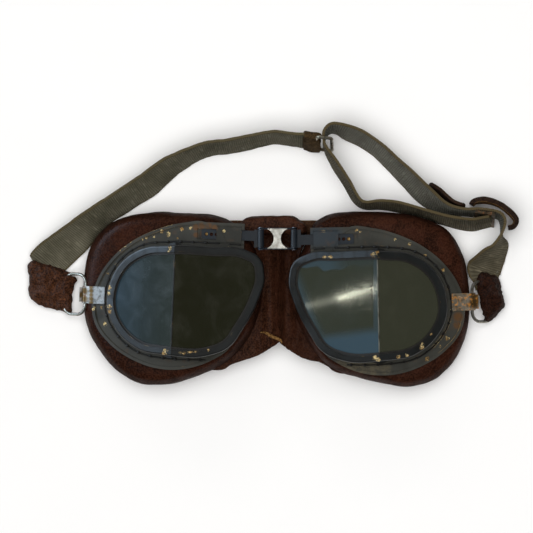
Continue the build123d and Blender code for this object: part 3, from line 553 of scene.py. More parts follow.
for row in (
    ("roll_leather", (0.012, 0.0036, 0.0020), (0.028, 0.0086, 0.0048), (0.070, 0.028, 0.015),
     0.27, 120, 0.66, 0.24, 0.055),
    ("left_nose_hide", (0.015, 0.0048, 0.0026), (0.035, 0.0112, 0.0058), (0.095, 0.040, 0.021),
     0.34, 120, 0.66, 0.35, 0.10),
    # Painted shade: the right half of the nose leather is a darker copy of the left half's
    # leather.
    ("right_nose_hide", (0.010, 0.0032, 0.0018), (0.024, 0.0076, 0.0040),
     (0.065, 0.027, 0.014), 0.34, 120, 0.66, 0.35, 0.08),
    ("left_tab_hide", (0.006, 0.0026, 0.0019), (0.030, 0.0115, 0.0055), (0.150, 0.056, 0.024),
     0.46, 420, 0.57, 0.9, 0.16),
    ("right_tab_hide", (0.004, 0.0013, 0.0008), (0.013, 0.0042, 0.0022), (0.060, 0.022, 0.011),
     0.42, 420, 0.64, 0.9, 0.16),
    ("keeper_hide", (0.011, 0.0055, 0.0020), (0.044, 0.026, 0.0090), (0.12, 0.072, 0.027),
     0.55, 500, 0.60, 0.8),
    ("guard_hide", (0.007, 0.0030, 0.0018), (0.017, 0.0078, 0.0044), (0.055, 0.028, 0.014),
     0.42, 200, 0.64),
    ("raw_hide", (0.060, 0.027, 0.009), (0.19, 0.095, 0.030), (0.42, 0.24, 0.085),
     0.75, 300, 0.5),
    ("brow_tan_hide", (0.026, 0.0105, 0.0050), (0.050, 0.022, 0.0105), (0.10, 0.052, 0.026),
     0.58, 200, 0.64),
):
    leather(*row)

# %% Felt and thread


def fluff(name, dark, light, roughness, scale, detail, rough, depth, **sockets):
    """Two colours and a relief from one fine noise."""
    fuzz = cloud(finish_named(name, light, roughness, **sockets), scale, detail, rough)
    to_shader("Base Color", blend(fuzz, dark, light))
    to_shader("Normal", relief(fuzz, depth))


fluff("wool_felt", (0.055, 0.045, 0.034), (0.16, 0.135, 0.105), 0.95, 1800, 6, 0.8, 0.0003,
      Sheen_Weight=0.5)
fluff("dark_thread", (0.004, 0.004, 0.004), (0.018, 0.016, 0.013), 0.6, 3500, 2, 0.55, 0.00012)
fluff("pale_thread", (0.16, 0.14, 0.09), (0.36, 0.33, 0.25), 0.6, 3500, 2, 0.55, 0.00012)

# %% Webbing
rib_pitch, warp_pitch = 1.05 * mm, 0.75 * mm


def webbing_finish(name, dark, light, edge_colour):
    """Ribbed cotton webbing with a denser woven edge."""
    tree = finish_named(name, light, 0.9, Specular_IOR_Level=0.1).id_data
    along, across = [add(tree, "Attribute", attribute_name=way).outputs["Fac"]
                     for way in ("along", "across")]
    where = add(tree, "CombineXYZ", {0: along, 1: across}).outputs[0]
    rib, warp = [maths("SINE", times(way, math.tau / pitch))
                 for way, pitch in ((along, rib_pitch), (across, warp_pitch))]
    knit = plus(rib, times(rib, warp, 0.6))
    slub = cloud(stretched(where, (1, 0.15, 1)), 900, 3)
    body = blend(step(cloud(where, 60, 5, 0.6), 0.3, 0.7), dark, light)
    body = blend(step(knit, -1.2, 1.2, 0.55, 0.0), body, [0.3 * c for c in dark])
    body = blend(step(slub, 0.55, 0.75, 0.0, 0.5), body, [1.7 * c for c in light])
    edge = step(maths("ABSOLUTE", across), 0.0083, 0.0089)
    to_shader("Base Color", blend(edge, body, edge_colour))
    to_shader("Normal", relief(slub, 0.00012, relief(knit, 0.00010)))


webbing_finish("webbing_outer", (0.086, 0.080, 0.053), (0.162, 0.151, 0.108),
               (0.085, 0.070, 0.038))
webbing_finish("webbing_inner", (0.128, 0.126, 0.102), (0.222, 0.218, 0.182),
               (0.115, 0.092, 0.052))
webbing_finish("webbing_khaki", (0.076, 0.066, 0.043), (0.158, 0.140, 0.096),
               (0.080, 0.062, 0.032))

# %% Give the metal pieces their finish


def wear(name, finish):
    """Put a finish into the material slots of a CAD piece."""
    for slot in nodes[name].material_slots:
        slot.link = "OBJECT"
        slot.material = finishes[finish]


for side in sides:
    for piece, finish in (
        ("cup", "cup_enamel"), ("rim", "rim_enamel"), ("gasket", "rubber_channel"),
        ("rim_catches", "catch_enamel"), ("click_spring", "spring_brass"),
        ("strip", "strip_enamel"), ("hinge_pin", "pin_steel"),
        ("end_clip", side + "_clip_steel"), ("strap_ring", "worn_ring_steel"),
        ("inner_pane", side + "_inner_glass"), ("outer_pane", side + "_outer_glass"),
        ("ridge_strip", "seam_steel" if side == "right" else "catch_enamel"),
    ):
        wear(f"{side}_{piece}", finish)
wear("bridge_link", "link_steel_with_painted_shade")
wear("slide_buckle", "slide_steel")
wear("keeper_loop", "loop_steel")
print("finishes:", len(finishes))

# %% [markdown]
# ## Meshes
# A soft piece starts either from a flat grid, as cloth and leather are cut flat, or from a
# ring of points that is bridged to the next ring, as a stuffed roll is drawn out. Both end
# with the same few steps: smooth faces, a finish, and the body that the piece moves with.

# %% Mesh helpers


def object_of(bm, name, *finish_names):
    """Turn a bmesh into a smooth object with its finishes."""
    bmesh.ops.recalc_face_normals(bm, faces=bm.faces)
    mesh = bpy.data.meshes.new(name)
    bm.to_mesh(mesh)
    bm.free()
    mesh.shade_smooth()
    for finish in finish_names:
        mesh.materials.append(finishes[finish])
    obj = bpy.data.objects.new(name, mesh)
    bpy.context.collection.objects.link(obj)
    return obj


def stands_for(obj, node, slot, body=None, give=None):
    """Hide the CAD node that a piece replaces and hang the piece on its body, if one is given; its
    slot and its padding are not used.
    """
    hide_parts(node)
    if body:
        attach(obj, body)


def flat_grid(x_segments, y_segments, size=0.5):
    """Flat square grid."""
    bm = bmesh.new()
    bmesh.ops.create_grid(bm, x_segments=x_segments, y_segments=y_segments, size=size)
    return bm


def ring(bm, points):
    """Closed ring of edges through points."""
    spots = [bm.verts.new(p) for p in points]
    return [bm.edges.new(pair) for pair in zip(spots, spots[1:] + spots[:1])]


def bridged(points_of_rings, closed=False, capped=False):
    """Bmesh skin over rings that have the same number of points."""
    bm = bmesh.new()
    rings = [ring(bm, points) for points in points_of_rings]
    for a, b in zip(rings, rings[1:] + (rings[:1] if closed else [])):
        bmesh.ops.bridge_loops(bm, edges=a + b)
    if capped:
        for end in (rings[0], rings[-1]):
            bmesh.ops.edgeloop_fill(bm, edges=end)
    return bm


def modified(obj, kind, **settings):
    """Add a modifier with its settings."""
    with_settings(obj.modifiers.new(kind.lower(), kind), **settings)
    return obj


def smoothed(obj, levels=1):
    """Subdivision surface with the same level on screen and in the picture."""
    return modified(obj, "SUBSURF", levels=levels, render_levels=levels)


def thick(obj, thickness, edge=0, back=0, even=True):
    """Give a flat sheet its thickness, with other finishes on its edge and its back."""
    return modified(obj, "SOLIDIFY", thickness=thickness, offset=0.0, use_even_offset=even,
                    material_offset=back, material_offset_rim=edge)


def rounded(obj, width):
    """Soften the cut edges of a sheet."""
    return modified(obj, "BEVEL", width=width, segments=2, limit_method="ANGLE",
                    angle_limit=math.radians(50))

# %% Curves and creases
tube_corners = 8
floor = 0.25 * mm


def smooth_path(rows, count, closed=False):
    """Rows of numbers eased through by a spline, count steps in each span."""
    if closed:
        padded = rows[-1:] + rows + rows[:2]
    else:
        padded = rows[:1] + rows + rows[-1:]
    result = []
    for a, b, c, d in zip(padded, padded[1:], padded[2:], padded[3:]):
        for i in range(count):
            t = i / count
            result.append([
                (2 * q + (r - p) * t + (2 * p - 5 * q + 4 * r - s) * t ** 2
                 + (3 * q - p - 3 * r + s) * t ** 3) / 2
                for p, q, r, s in zip(a, b, c, d)])
    return result if closed else result + [list(rows[-1])]


def curve(rows, count, closed=False):
    """The same spline as vectors."""
    return [Vector(row) for row in smooth_path(rows, count, closed)]


def tube(line, radii):
    """Rings of a tube along a line."""
    rings = []
    for i, p in enumerate(line):
        ahead = (line[min(i + 1, len(line) - 1)] - line[max(i - 1, 0)]).normalized()
        out = ahead.cross(Vector((0, 0, 1))).normalized()
        up = out.cross(ahead)
        turns = [math.tau * k / tube_corners for k in range(tube_corners)]
        rings.append([p + (out * math.cos(turn) + up * math.sin(turn)) * radii[i]
                      for turn in turns])
    return rings


def smoothstep(low, high, value):
    """Ease from zero to one between two values."""
    t = min(1.0, max(0.0, (value - low) / (high - low)))
    return t * t * (3 - 2 * t)


def rumple(bm, depth, size, seed, sharp):
    """Push points along their normals by soft lumps and a share of sharp creases."""
    bm.normal_update()
    shift = Vector((seed * 3.7, seed * 1.3, seed * 2.1))
    moves = []
    for v in bm.verts:
        p = v.co / size + shift
        soft = noise.noise(p)
        crease = 1 - 2 * abs(noise.noise(p * 0.7 + shift))
        moves.append(v.normal * depth * ((1 - sharp) * soft + sharp * (crease - 0.4)))
    for v, move in zip(bm.verts, moves):
        v.co += move
        v.co.z = max(v.co.z, floor)

# %% [markdown]
# ## Leather rolls
# Each eyepiece sits on a stuffed leather roll. Its section is nearly round outside, where it
# swells past the flange, and flat at the back where it rests on the face. The section is
# drawn as a list of insets and heights, and it is carried round the eyepiece from one
# outline to the opening inside. Where the roll is narrow, by the nose, the insets shrink.

# %% Outlines of the roll and of the lens opening

roll_shares = [
    (0.267, 0.995), (0.471, 1.000), (0.675, 0.980), (0.857, 0.918), (0.959, 0.797),
    (0.997, 0.635), (0.999, 0.427), (0.948, 0.242), (0.834, 0.092), (0.687, 0.012),
    (0.539, 0.009), (0.358, 0.060), (0.199, 0.133), (0.079, 0.277), (0.017, 0.450),
    (0.000, 0.635), (0.034, 0.808), (0.125, 0.935),
]
opening_shares = [
    (0.100, 0.985), (0.300, 1.000), (0.600, 1.000), (0.800, 0.955), (0.925, 0.815),
    (0.990, 0.610), (0.995, 0.400), (0.930, 0.205), (0.800, 0.050), (0.600, 0.000),
    (0.330, 0.008), (0.225, 0.072), (0.120, 0.290), (0.035, 0.560), (0.000, 0.800),
    (0.025, 0.925),
]
roll_box = ((6.5, -75.0), (88.1, 86.6))
roll_reach = 94.6
roll_swell = {
    "left": [(10, 2.9), (22, 2.7), (50, 0.6), (70, -0.5), (85, -1.5), (100, -1.5), (110, -2.1),
             (122, -2.9), (140, -2.2), (165, 0), (240, 0.3), (250, 0.6), (262, 1.4), (280, 2.1),
             (300, 2.0), (320, 1.6), (348, 2.6)],
    "right": [(0, -0.2), (30, -0.5), (45, 0.6), (62, 1.6), (80, 1.9), (100, 1.9), (112, 2.5),
              (121, 2.0), (130, -1.2), (138, -2.2), (155, 0), (250, 0), (262, -0.6), (280, -1.1),
              (298, 0), (312, 1.4), (325, 1.3), (345, 0.3)],
}
opening_box = ((9.2, -57.2), (71.0, 47.2))
eye_middle = Vector((44.0, -33.0))
flange_arc = (27.159254, -175.520189, 199.627585)
around = 160

# %% Rays from the middle of the eye


def outline(shares, box):
    """Closed curve through shares of a box, as flat points in millimetres."""
    (left, low), (width, height) = box
    return curve([(left + u * width, low + v * height) for u, v in shares], 10, closed=True)


def rays_to(edge, count):
    """Where even rays from the middle of the eye cross a closed curve."""
    spots = []
    for i in range(count):
        angle = math.tau * i / count
        ray = Vector((math.cos(angle), math.sin(angle)))
        for a, b in zip(edge, edge[1:] + edge[:1]):
            p, q = a - eye_middle, b - eye_middle
            turn_p, turn_q = ray.cross(p), ray.cross(q)
            if (turn_p <= 0 < turn_q or turn_q <= 0 < turn_p) and (p + q).dot(ray) > 0:
                t = turn_p / (turn_p - turn_q)
                spots.append(a.lerp(b, t))
                break
    return spots


def flange_height(x):
    """Height of the bent flange over the table, from the middle and radius of its arc."""
    middle, low, radius = flange_arc
    return low + math.sqrt(radius ** 2 - (x - middle) ** 2)


def swell_at(table, degrees):
    """Value of a closed table at a turn, eased between its rows."""
    rows = [(table[-1][0] - 360, table[-1][1]), *table, (table[0][0] + 360, table[0][1])]
    for (a, low), (b, high) in zip(rows, rows[1:]):
        if a <= degrees <= b:
            return low + (high - low) * smoothstep(a, b, degrees)


roll_outer = {side: [] for side in sides}
for side in sides:
    for i, p in enumerate(rays_to(outline(roll_shares, roll_box), around)):
        out = swell_at(roll_swell[side], 360 * i / around)
        roll_outer[side].append(p + (p - eye_middle).normalized() * out)
opening_edge = outline(opening_shares, opening_box)
roll_inner = [p.lerp(eye_middle, 2.0 / (p - eye_middle).length)
              for p in rays_to(opening_edge, around)]
print("points round each roll:", len(roll_inner))

# %% Roll section

roll_section = [
    (12.0, 0.000), (8.0, 0.000), (5.2, 0.000), (3.3, 0.020), (1.7, 0.085), (0.6, 0.20),
    (0.05, 0.36), (0.0, 0.52), (0.25, 0.67), (1.0, 0.81), (2.3, 0.915), (4.0, 0.975),
    (6.0, 0.997), (8.5, 1.000), (12.0, 1.000),
]
full_depth = 13.0


def roll_ring(inset, share, side):
    """One ring of the roll, at an inset and a share of its height."""
    points = []
    for outer, inner in zip(roll_outer[side], roll_inner):
        reach = (inner - outer).length
        spot = outer.lerp(inner, min(1.0, inset * min(1.0, reach / full_depth) / reach))
        top = flange_height(min(spot.x, roll_reach)) - 0.5
        points.append(at_eyepiece(side, spot.x, spot.y, 0.05 + share * top))
    return points


for side in sides:
    rings = [roll_ring(inset, share, side) for inset, share in roll_section]
    rings += [roll_ring(99, share, side) for share in (1.0, 0.5, 0.0)]
    bm = bridged(rings, closed=True)
    bmesh.ops.recalc_face_normals(bm, faces=bm.faces)
    bm.normal_update()
    for v in bm.verts:
        swell = noise.noise(v.co * 95) * 0.35 + noise.noise(v.co * 260) * 0.22
        hem = smoothstep(0.2, 0.5, v.normal.xy.length)
        v.co += Vector((v.normal.x, v.normal.y, 0.3 * v.normal.z)) * swell * hem * mm
        v.co.z = max(v.co.z, 0.05 * mm)
    cushion = smoothed(object_of(bm, side + "_leather_roll", "roll_leather"), 2)
    stands_for(cushion, side + "_cushion", "cushion_leather", side + "_eyepiece", 0.9)
    print(cushion.name, len(cushion.data.polygons), "faces")

# %% [markdown]
# ## Felt lining
# A soft band lines the inside of each roll. It is a plain upright band, bridged from six
# rings, and its finish gives it the fuzz.

# %% Felt lining
felt_section = ((0.35, 0.4), (0.35, 7.0), (0.9, 7.5), (1.5, 7.0), (1.5, 0.4), (0.9, 0.32))

for side in sides:
    rings = []
    for inset, height in felt_section:
        rings.append([
            at_eyepiece(side, *p.lerp(eye_middle, inset / (p - eye_middle).length), height)
            for p in roll_inner])
    band = smoothed(object_of(bridged(rings, closed=True), side + "_felt_lining", "wool_felt"))
    stands_for(band, side + "_face_lining", "lining_felt", side + "_eyepiece", 0.5)

# %% [markdown]
# ## Leather over the nose
# The two halves of the nose leather meet at a crease in the middle. Each is cut flat, so
# each starts as a grid. The grid is stretched between four border curves, as a Coons patch
# does it, and pushed up and down into soft folds. Each half is then cut along a fold into a
# wide cover outside the fold and a narrow strip of leather inside it, which runs on under the
# cover.

# %% Nose leather borders

nose_top = [(0.1, 2.6), (5, 2.4), (10, 2.0), (15.5, 0.0)]
nose_borders = {
    "right": {
        "seam": [(0.1, 2.6), (0.3, -15), (-0.4, -32), (0.6, -51.8)],
        "foot": [(0.6, -51.8), (3.3, -54.1), (5.8, -56.1), (10.8, -59.1), (15.8, -60.9),
                 (20.3, -61.7), (23.8, -63.3), (26.8, -65.6), (30.2, -67.1), (33.5, -67.4),
                 (36.5, -66.8)],
        "side": [(15.5, 0.0), (11.4, -6), (9.0, -18), (9.4, -30), (13.2, -42), (20.5, -51.5),
                 (28.0, -58.5), (36.5, -66.8)],
    },
    "left": {
        "seam": [(0.1, 2.6), (-0.2, -15), (0.5, -32), (-0.4, -51.4)],
        "foot": [(-0.4, -51.4), (4.3, -54.8), (9.3, -57.8), (14.3, -59.8), (19.3, -61.4),
                 (23.8, -63.0), (27.6, -65.4), (32.0, -65.8), (36.0, -65.4)],
        "side": [(15.5, 0.0), (11.4, -6), (9.0, -18), (10.0, -30), (15.4, -41), (24.5, -52.5),
                 (36.0, -65.4)],
    },
}

# %% Nose leather heights


def along(points, t):
    """Point at a share of the length of a smooth curve through points."""
    fine = curve(points, 8)
    lengths = [0.0]
    for a, b in zip(fine, fine[1:]):
        lengths.append(lengths[-1] + (b - a).length)
    goal = t * lengths[-1]
    for a, b, start, end in zip(fine, fine[1:], lengths, lengths[1:]):
        if end >= goal:
            return a.lerp(b, (goal - start) / (end - start))


def nose_height(x, y, u, v):
    """Height of the leather: soft folds by the seam, and a climb to the roll."""
    drift = 1.6 * math.sin(y / 13.0) + 0.6 * math.sin(y / 5.7)
    crease = -2.2 * math.exp(-((x - 1.2 + 0.4 * drift) / 1.6) ** 2)
    ridge = 0.9 * math.exp(-((x - 4.6 + 0.5 * drift) / 2.4) ** 2)
    second = -0.8 * math.exp(-((x - 9.0 - 0.6 * drift) / 1.5) ** 2)
    gather = 0.45 * math.sin(y * 1.3 + x * 0.6) * math.exp(-((y + 4) / 5.0) ** 2)
    climb = 2.6 * smoothstep(0.62, 1.0, u) * (1 - v)
    small = 0.7 * noise.noise(Vector((x * 0.22, y * 0.13, 4.0)))
    tiny = 0.25 * noise.noise(Vector((x * 0.8, y * 0.5, 7.0)))
    return 13.6 + crease + ridge + second + gather + climb + small + tiny - 0.9 * v * v

# %% Nose leather
columns, lines = 44, 84
fold_at, fold_under = 4.5, 0.6


def nose_part(whole, side, outside):
    """Copy of one half, kept on one side of its fold; the inner one runs on under the cover."""
    part = whole.copy()
    outward = 1 if side == "right" else -1
    bmesh.ops.bisect_plane(
        part, geom=part.verts[:] + part.edges[:] + part.faces[:],
        plane_co=at_link(side, fold_at if outside else fold_at + fold_under, 0, 0),
        plane_no=(outward, 0, 0), clear_inner=outside, clear_outer=not outside)
    if not outside:
        for v in part.verts:
            off = abs(v.co.x - link.x * mm) / mm
            v.co.z -= 0.35 * mm * smoothstep(fold_at - 0.8, fold_at, off)
    return part


for side in sides:
    border = nose_borders[side]
    bm = flat_grid(columns, lines)
    tops, feet = [[along(edge, i / columns) for i in range(columns + 1)]
                  for edge in (nose_top, border["foot"])]
    seams, flanks = [[along(edge, i / lines) for i in range(lines + 1)]
                     for edge in (border["seam"], border["side"])]
    shift = 0.6 if side == "left" else 0.0
    for v in bm.verts:
        s, t = v.co.x + 0.5, 0.5 - v.co.y
        i, j = round(s * columns), round(t * lines)
        flat = (seams[j] * (1 - s) + flanks[j] * s + tops[i] * (1 - t) + feet[i] * t
                - (tops[0] * (1 - s) + tops[-1] * s) * (1 - t)
                - (feet[0] * (1 - s) + feet[-1] * s) * t)
        height = nose_height(flat.x, flat.y + shift * 7, s, t) - shift
        v.co = at_link(side, flat.x, flat.y, height)
    cover, fold = [
        object_of(nose_part(bm, side, outside), f"{side}_nose_{part}", side + "_nose_hide")
        for part, outside in (("cover", True), ("fold", False))]
    bm.free()
    for skin in (cover, fold):
        smoothed(rounded(thick(skin, 1.3 * mm, even=False), 0.25 * mm))
        stands_for(skin, side + "_nose_leather", "cushion_leather")
    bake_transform(cover)
    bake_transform(fold)
    print(side, "nose leather:", len(cover.data.vertices) + len(fold.data.vertices), "points")

# %% Torn edge of the left half

torn = [(260, 332.6, 0.2), (264, 332.4, 0.5), (268, 334.2, 0.75), (272, 336.6, 0.8),
        (277, 338.6, 0.75), (280.5, 340.6, 0.6), (282.3, 343.6, 0.25)]
parts = [bpy.data.objects["left_nose_" + part] for part in ("cover", "fold")]
line, radii = [], []
for px, py, radius in smooth_path(torn, 5):
    x, y = seen_at(px, py)
    spots = [part.closest_point_on_mesh(Vector((x, y, 14 * mm)))[1] for part in parts]
    near = min(spots, key=lambda p: (p.xy - Vector((x, y))).length)
    line.append(Vector((x, y, near.z + (0.75 + 0.15 * math.sin(px * 1.7)) * mm)))
    radii.append(max(0.1, radius * (1 + 0.25 * math.sin(px * 2.9))) * 1.15 * mm)
flap = smoothed(object_of(bridged(tube(line, radii), capped=True), "torn_leather_edge",
                          "raw_hide"))
stands_for(flap, "left_nose_leather", "cushion_leather")
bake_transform(flap)

# %% [markdown]
# ## Brow pad and brow lining
# Behind the link a small stuffed pad keeps the metal off the brow. It is drawn as a row of
# rounded sections from one end to the other. A thin tan leather carries it and shows at
# both ends.

# %% Brow pad

pad_plan = [
    (-23.4, 6.8), (-21.5, 7.4), (-19.0, 8.0), (-16.8, 9.8), (-14.5, 11.0), (-9.0, 11.3),
    (-2.0, 11.4), (5.0, 11.5), (8.2, 10.9), (10.2, 9.4), (12.2, 8.0), (14.2, 6.6),
]
pad_front, pad_height, pad_reach = 1.9, 15.2, 4.0
corners = 28
sections = []
for x, back in smooth_path(pad_plan, 5):
    tip = smoothstep(-24.2, -21.0, x) * smoothstep(15.2, 12.0, x)
    points = []
    for i in range(corners):
        c, s = math.cos(math.tau * i / corners), math.sin(math.tau * i / corners)
        wide = math.copysign(abs(c) ** 0.62, c) * (0.55 + 0.45 * tip)
        tall = math.copysign(abs(s) ** 0.72, s) * (0.35 + 0.65 * tip)
        y = (pad_front + back) / 2 + wide * (back - pad_front) / 2
        points.append(at_link("right", x, y, pad_height + pad_reach * tall))
    sections.append(points)
bm = bridged(sections, capped=True)
bmesh.ops.recalc_face_normals(bm, faces=bm.faces)
rumple(bm, 0.7 * mm, 3.2 * mm, 3, 0.6)
pad = smoothed(object_of(bm, "brow_cushion", "left_nose_hide"), 2)
stands_for(pad, "brow_pad", "cushion_leather", "bridge", 0.7)

# %% Brow lining
lining_width, lining_length = 24.3, 11.2

for side in sides:
    bm = flat_grid(30, 12)
    for v in bm.verts:
        x, y = 0.2 + (v.co.x + 0.5) * lining_width, -2.0 + (v.co.y + 0.5) * lining_length
        z = 10.0 + 0.3 * math.sin(x * 0.9) + 0.3 * noise.noise(Vector((x * 0.4, y * 0.5, 8)))
        v.co = at_link(side, x, y, z)
    lining = object_of(bm, side + "_brow_leather", "brow_tan_hide", "raw_hide")
    rounded(thick(lining, 1.1 * mm, edge=1), 0.2 * mm)
    stands_for(lining, "brow_lining", "tan_leather")
    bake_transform(lining)

# %% [markdown]
# ## Lacing
# A waxed thread laces the flange to the leather. It lies in a groove that keeps the same
# distance from the lens opening all round, dips through a hole every few millimetres and is
# caught there by a small knot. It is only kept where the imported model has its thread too,
# which leaves out the stretches under the clip and beside the nose.

# %% Lacing thread

groove_offset, thread_lift = 5.6, 1.15
stitch_length, thread_radius, knot_radius = 6.4 * mm, 0.32, 0.74 * mm


def thread_line(side):
    """Runs of points along the groove, in order round the eye."""
    runs, run = [], []
    for a, b in zip(opening_edge, opening_edge[1:] + opening_edge[:1]):
        out = Vector((b.y - a.y, a.x - b.x)).normalized()
        p = a + out * math.copysign(groove_offset, out.dot(a - eye_middle))
        spot = at_eyepiece(side, p.x, p.y, flange_height(p.x) + thread_lift)
        _, near, _, _ = nodes[side + "_lacing"].closest_point_on_mesh(spot)
        if (near.xy - spot.xy).length < 0.5 * mm:
            run.append(spot)
        elif run:
            runs.append(run)
            run = []
    runs.append(run)
    return [r for r in runs if len(r) > 3]


for side in sides:
    whole = bmesh.new()
    knots = 0
    for run in thread_line(side):
        line = curve(run, 4)
        gone, last, radii, holes = 0.0, 0.0, [], []
        for i, p in enumerate(line):
            gone += (p - line[max(i - 1, 0)]).length
            phase = (gone / stitch_length) % 1.0
            dip = smoothstep(0.10, 0.0, min(phase, 1 - phase))
            p.z -= 0.25 * dip * mm
            p.x += 0.12 * mm * math.sin(gone * 900)
            radii.append((thread_radius - 0.08 * dip) * mm)
            if phase < last:
                holes.append(i)
            last = phase
        skin = bridged(tube(line, radii), capped=True)
        mesh = bpy.data.meshes.new("run")
        skin.to_mesh(mesh)
        skin.free()
        whole.from_mesh(mesh)
        bpy.data.meshes.remove(mesh)
        for i in holes:
            spot = line[i] + Vector((0, 0, 0.35 * mm))
            way = (line[min(i + 1, len(line) - 1)] - line[i - 1]).normalized()
            turn = Vector((1, 0, 0)).rotation_difference(way).to_matrix().to_4x4()
            shape = Matrix.Translation(spot) @ turn @ Matrix.Diagonal((1.25, 1.0, 0.7, 1))
            bmesh.ops.create_icosphere(whole, subdivisions=2, radius=knot_radius, matrix=shape)
            knots += 1
    lace = object_of(whole, side + "_laced_thread", "dark_thread")
    stands_for(lace, side + "_lacing", "thread", side + "_eyepiece")
    print(lace.name, knots, "knots")

# %% [markdown]
# ## Strap
# The webbing is one long flat strip, mostly standing on its edge. Each station gives a place
# seen from above, the way its upper edge points and how steeply it stands. A spline runs
# through the stations, and a flat grid as long as that run is laid along it, so the cloth
# keeps its real width and length. The leather pieces on the strap are made the same way.

# %% Stations of the strap

left_stations = [
    (-1.266, 0.684, 158, 2), (-1.249, 0.716, 158, 3), (-1.210, 0.760, 150, 12),
    (-1.112, 0.848, 132, 32), (-0.962, 0.991, 122, 54),
    (-0.796, 1.111, 119, 55), (-0.700, 1.179, 117, 54), (-0.576, 1.286, 118, 62),
    (-0.407, 1.378, 104, 71), (-0.209, 1.413, 98, 71), (-0.045, 1.451, 90, 73),
    (0.124, 1.435, 84, 71), (0.150, 1.431, 84, 71),
]
keeper_stations = [
    (0.128, 1.434, 84, 71), (0.166, 1.428, 84, 71), (0.203, 1.421, 84, 72),
    (0.222, 1.417, 84, 73),
]
right_stations = [
    (1.130, 0.972, 98, 76), (1.070, 0.957, 96, 74), (1.007, 0.948, 84, 73), (0.880, 0.974, 74, 76),
    (0.764, 1.014, 72, 78), (0.637, 1.049, 78, 76), (0.539, 1.064, 84, 78),
    (0.462, 1.060, 66, 80), (0.412, 1.090, 38, 79), (0.357, 1.194, 30, 78),
    (0.291, 1.308, 32, 79), (0.250, 1.384, 30, 84), (0.239, 1.434, 0, 88),
    (0.252, 1.484, 130, 84), (0.294, 1.508, 105, 76), (0.362, 1.482, 80, 69),
    (0.447, 1.439, 66, 68), (0.526, 1.378, 52, 68), (0.616, 1.286, 45, 66),
    (0.695, 1.201, 45, 63), (0.772, 1.118, 48, 62), (0.869, 1.045, 62, 71),
    (0.970, 1.022, 84, 80), (1.076, 1.015, 84, 78), (1.160, 1.002, 50, 80),
    (1.184, 0.957, 20, 82), (1.175, 0.882, 0, 92), (1.160, 0.818, -5, 117),
    (1.124, 0.761, -8, 135), (1.094, 0.712, -4, 152), (1.078, 0.665, -2, 156),
    (1.085, 0.620, -4, 160), (1.094, 0.585, -6, 160),
]
backing_stations = [
    (0.790, 1.172, 50, 80), (0.838, 1.136, 50, 78), (0.889, 1.091, 52, 80),
    (0.935, 1.061, 75, 82), (0.985, 1.046, 86, 82),
]
guard_stations = [
    (1.018, 1.058, 150, 89), (1.036, 1.080, 120, 88), (1.086, 1.088, 88, 87),
    (1.144, 1.073, 70, 87), (1.197, 1.040, 58, 87), (1.240, 0.998, 45, 87),
    (1.255, 0.966, 0, 88), (1.239, 0.937, -45, 88), (1.212, 0.929, -90, 89),
]

# %% Webbing laid along its stations
strap_width, strap_base = 19.0, 0.35
loop_reach, loop_lift = 24.0, 1.9


def strap_spot(u, v):
    """Place on the table in millimetres, from shares of the roll's reach and height."""
    (_, low), (_, height) = roll_box
    return link.x + u * roll_reach, link.y + low + v * height


loop_spot = Vector(strap_spot(0.222, 1.417))


def strap_rows(stations, thickness):
    """Way gone, middle, way across and way ahead at close steps, in millimetres."""
    rows = []
    for u, v, turn, lean in stations:
        turn, lean = math.radians(turn), math.radians(lean)
        flat = math.cos(lean)
        rows.append((*strap_spot(u, v), flat * math.cos(turn), flat * math.sin(turn),
                     math.sin(lean)))
    rows = smooth_path(rows, 10)
    middles = []
    for x, y, *way in rows:
        way = Vector(way).normalized()
        rise = max(0.0, 1 - (Vector((x, y)) - loop_spot).length / loop_reach)
        rise = loop_lift * (1 - math.cos(math.pi * min(1.0, 2 * rise))) / 2
        height = (strap_width * way.z + thickness * way.xy.length) / 2
        middles.append(Vector((x, y, strap_base + rise + height)))
    result, gone = [], 0.0
    for i, middle in enumerate(middles):
        gone += (middle - middles[max(i - 1, 0)]).length
        ahead = (middles[min(i + 1, len(rows) - 1)] - middles[max(i - 1, 0)]).normalized()
        across = Vector(rows[i][2:]).normalized()
        across = (across - ahead * across.dot(ahead)).normalized()
        skin = ahead.cross(across)
        lowest = middle.z - abs(across.z) * strap_width / 2 - abs(skin.z) * thickness / 2
        middle = middle + Vector((0, 0, max(0.0, strap_base - lowest)))
        result.append((gone, middle, across, ahead))
    return result


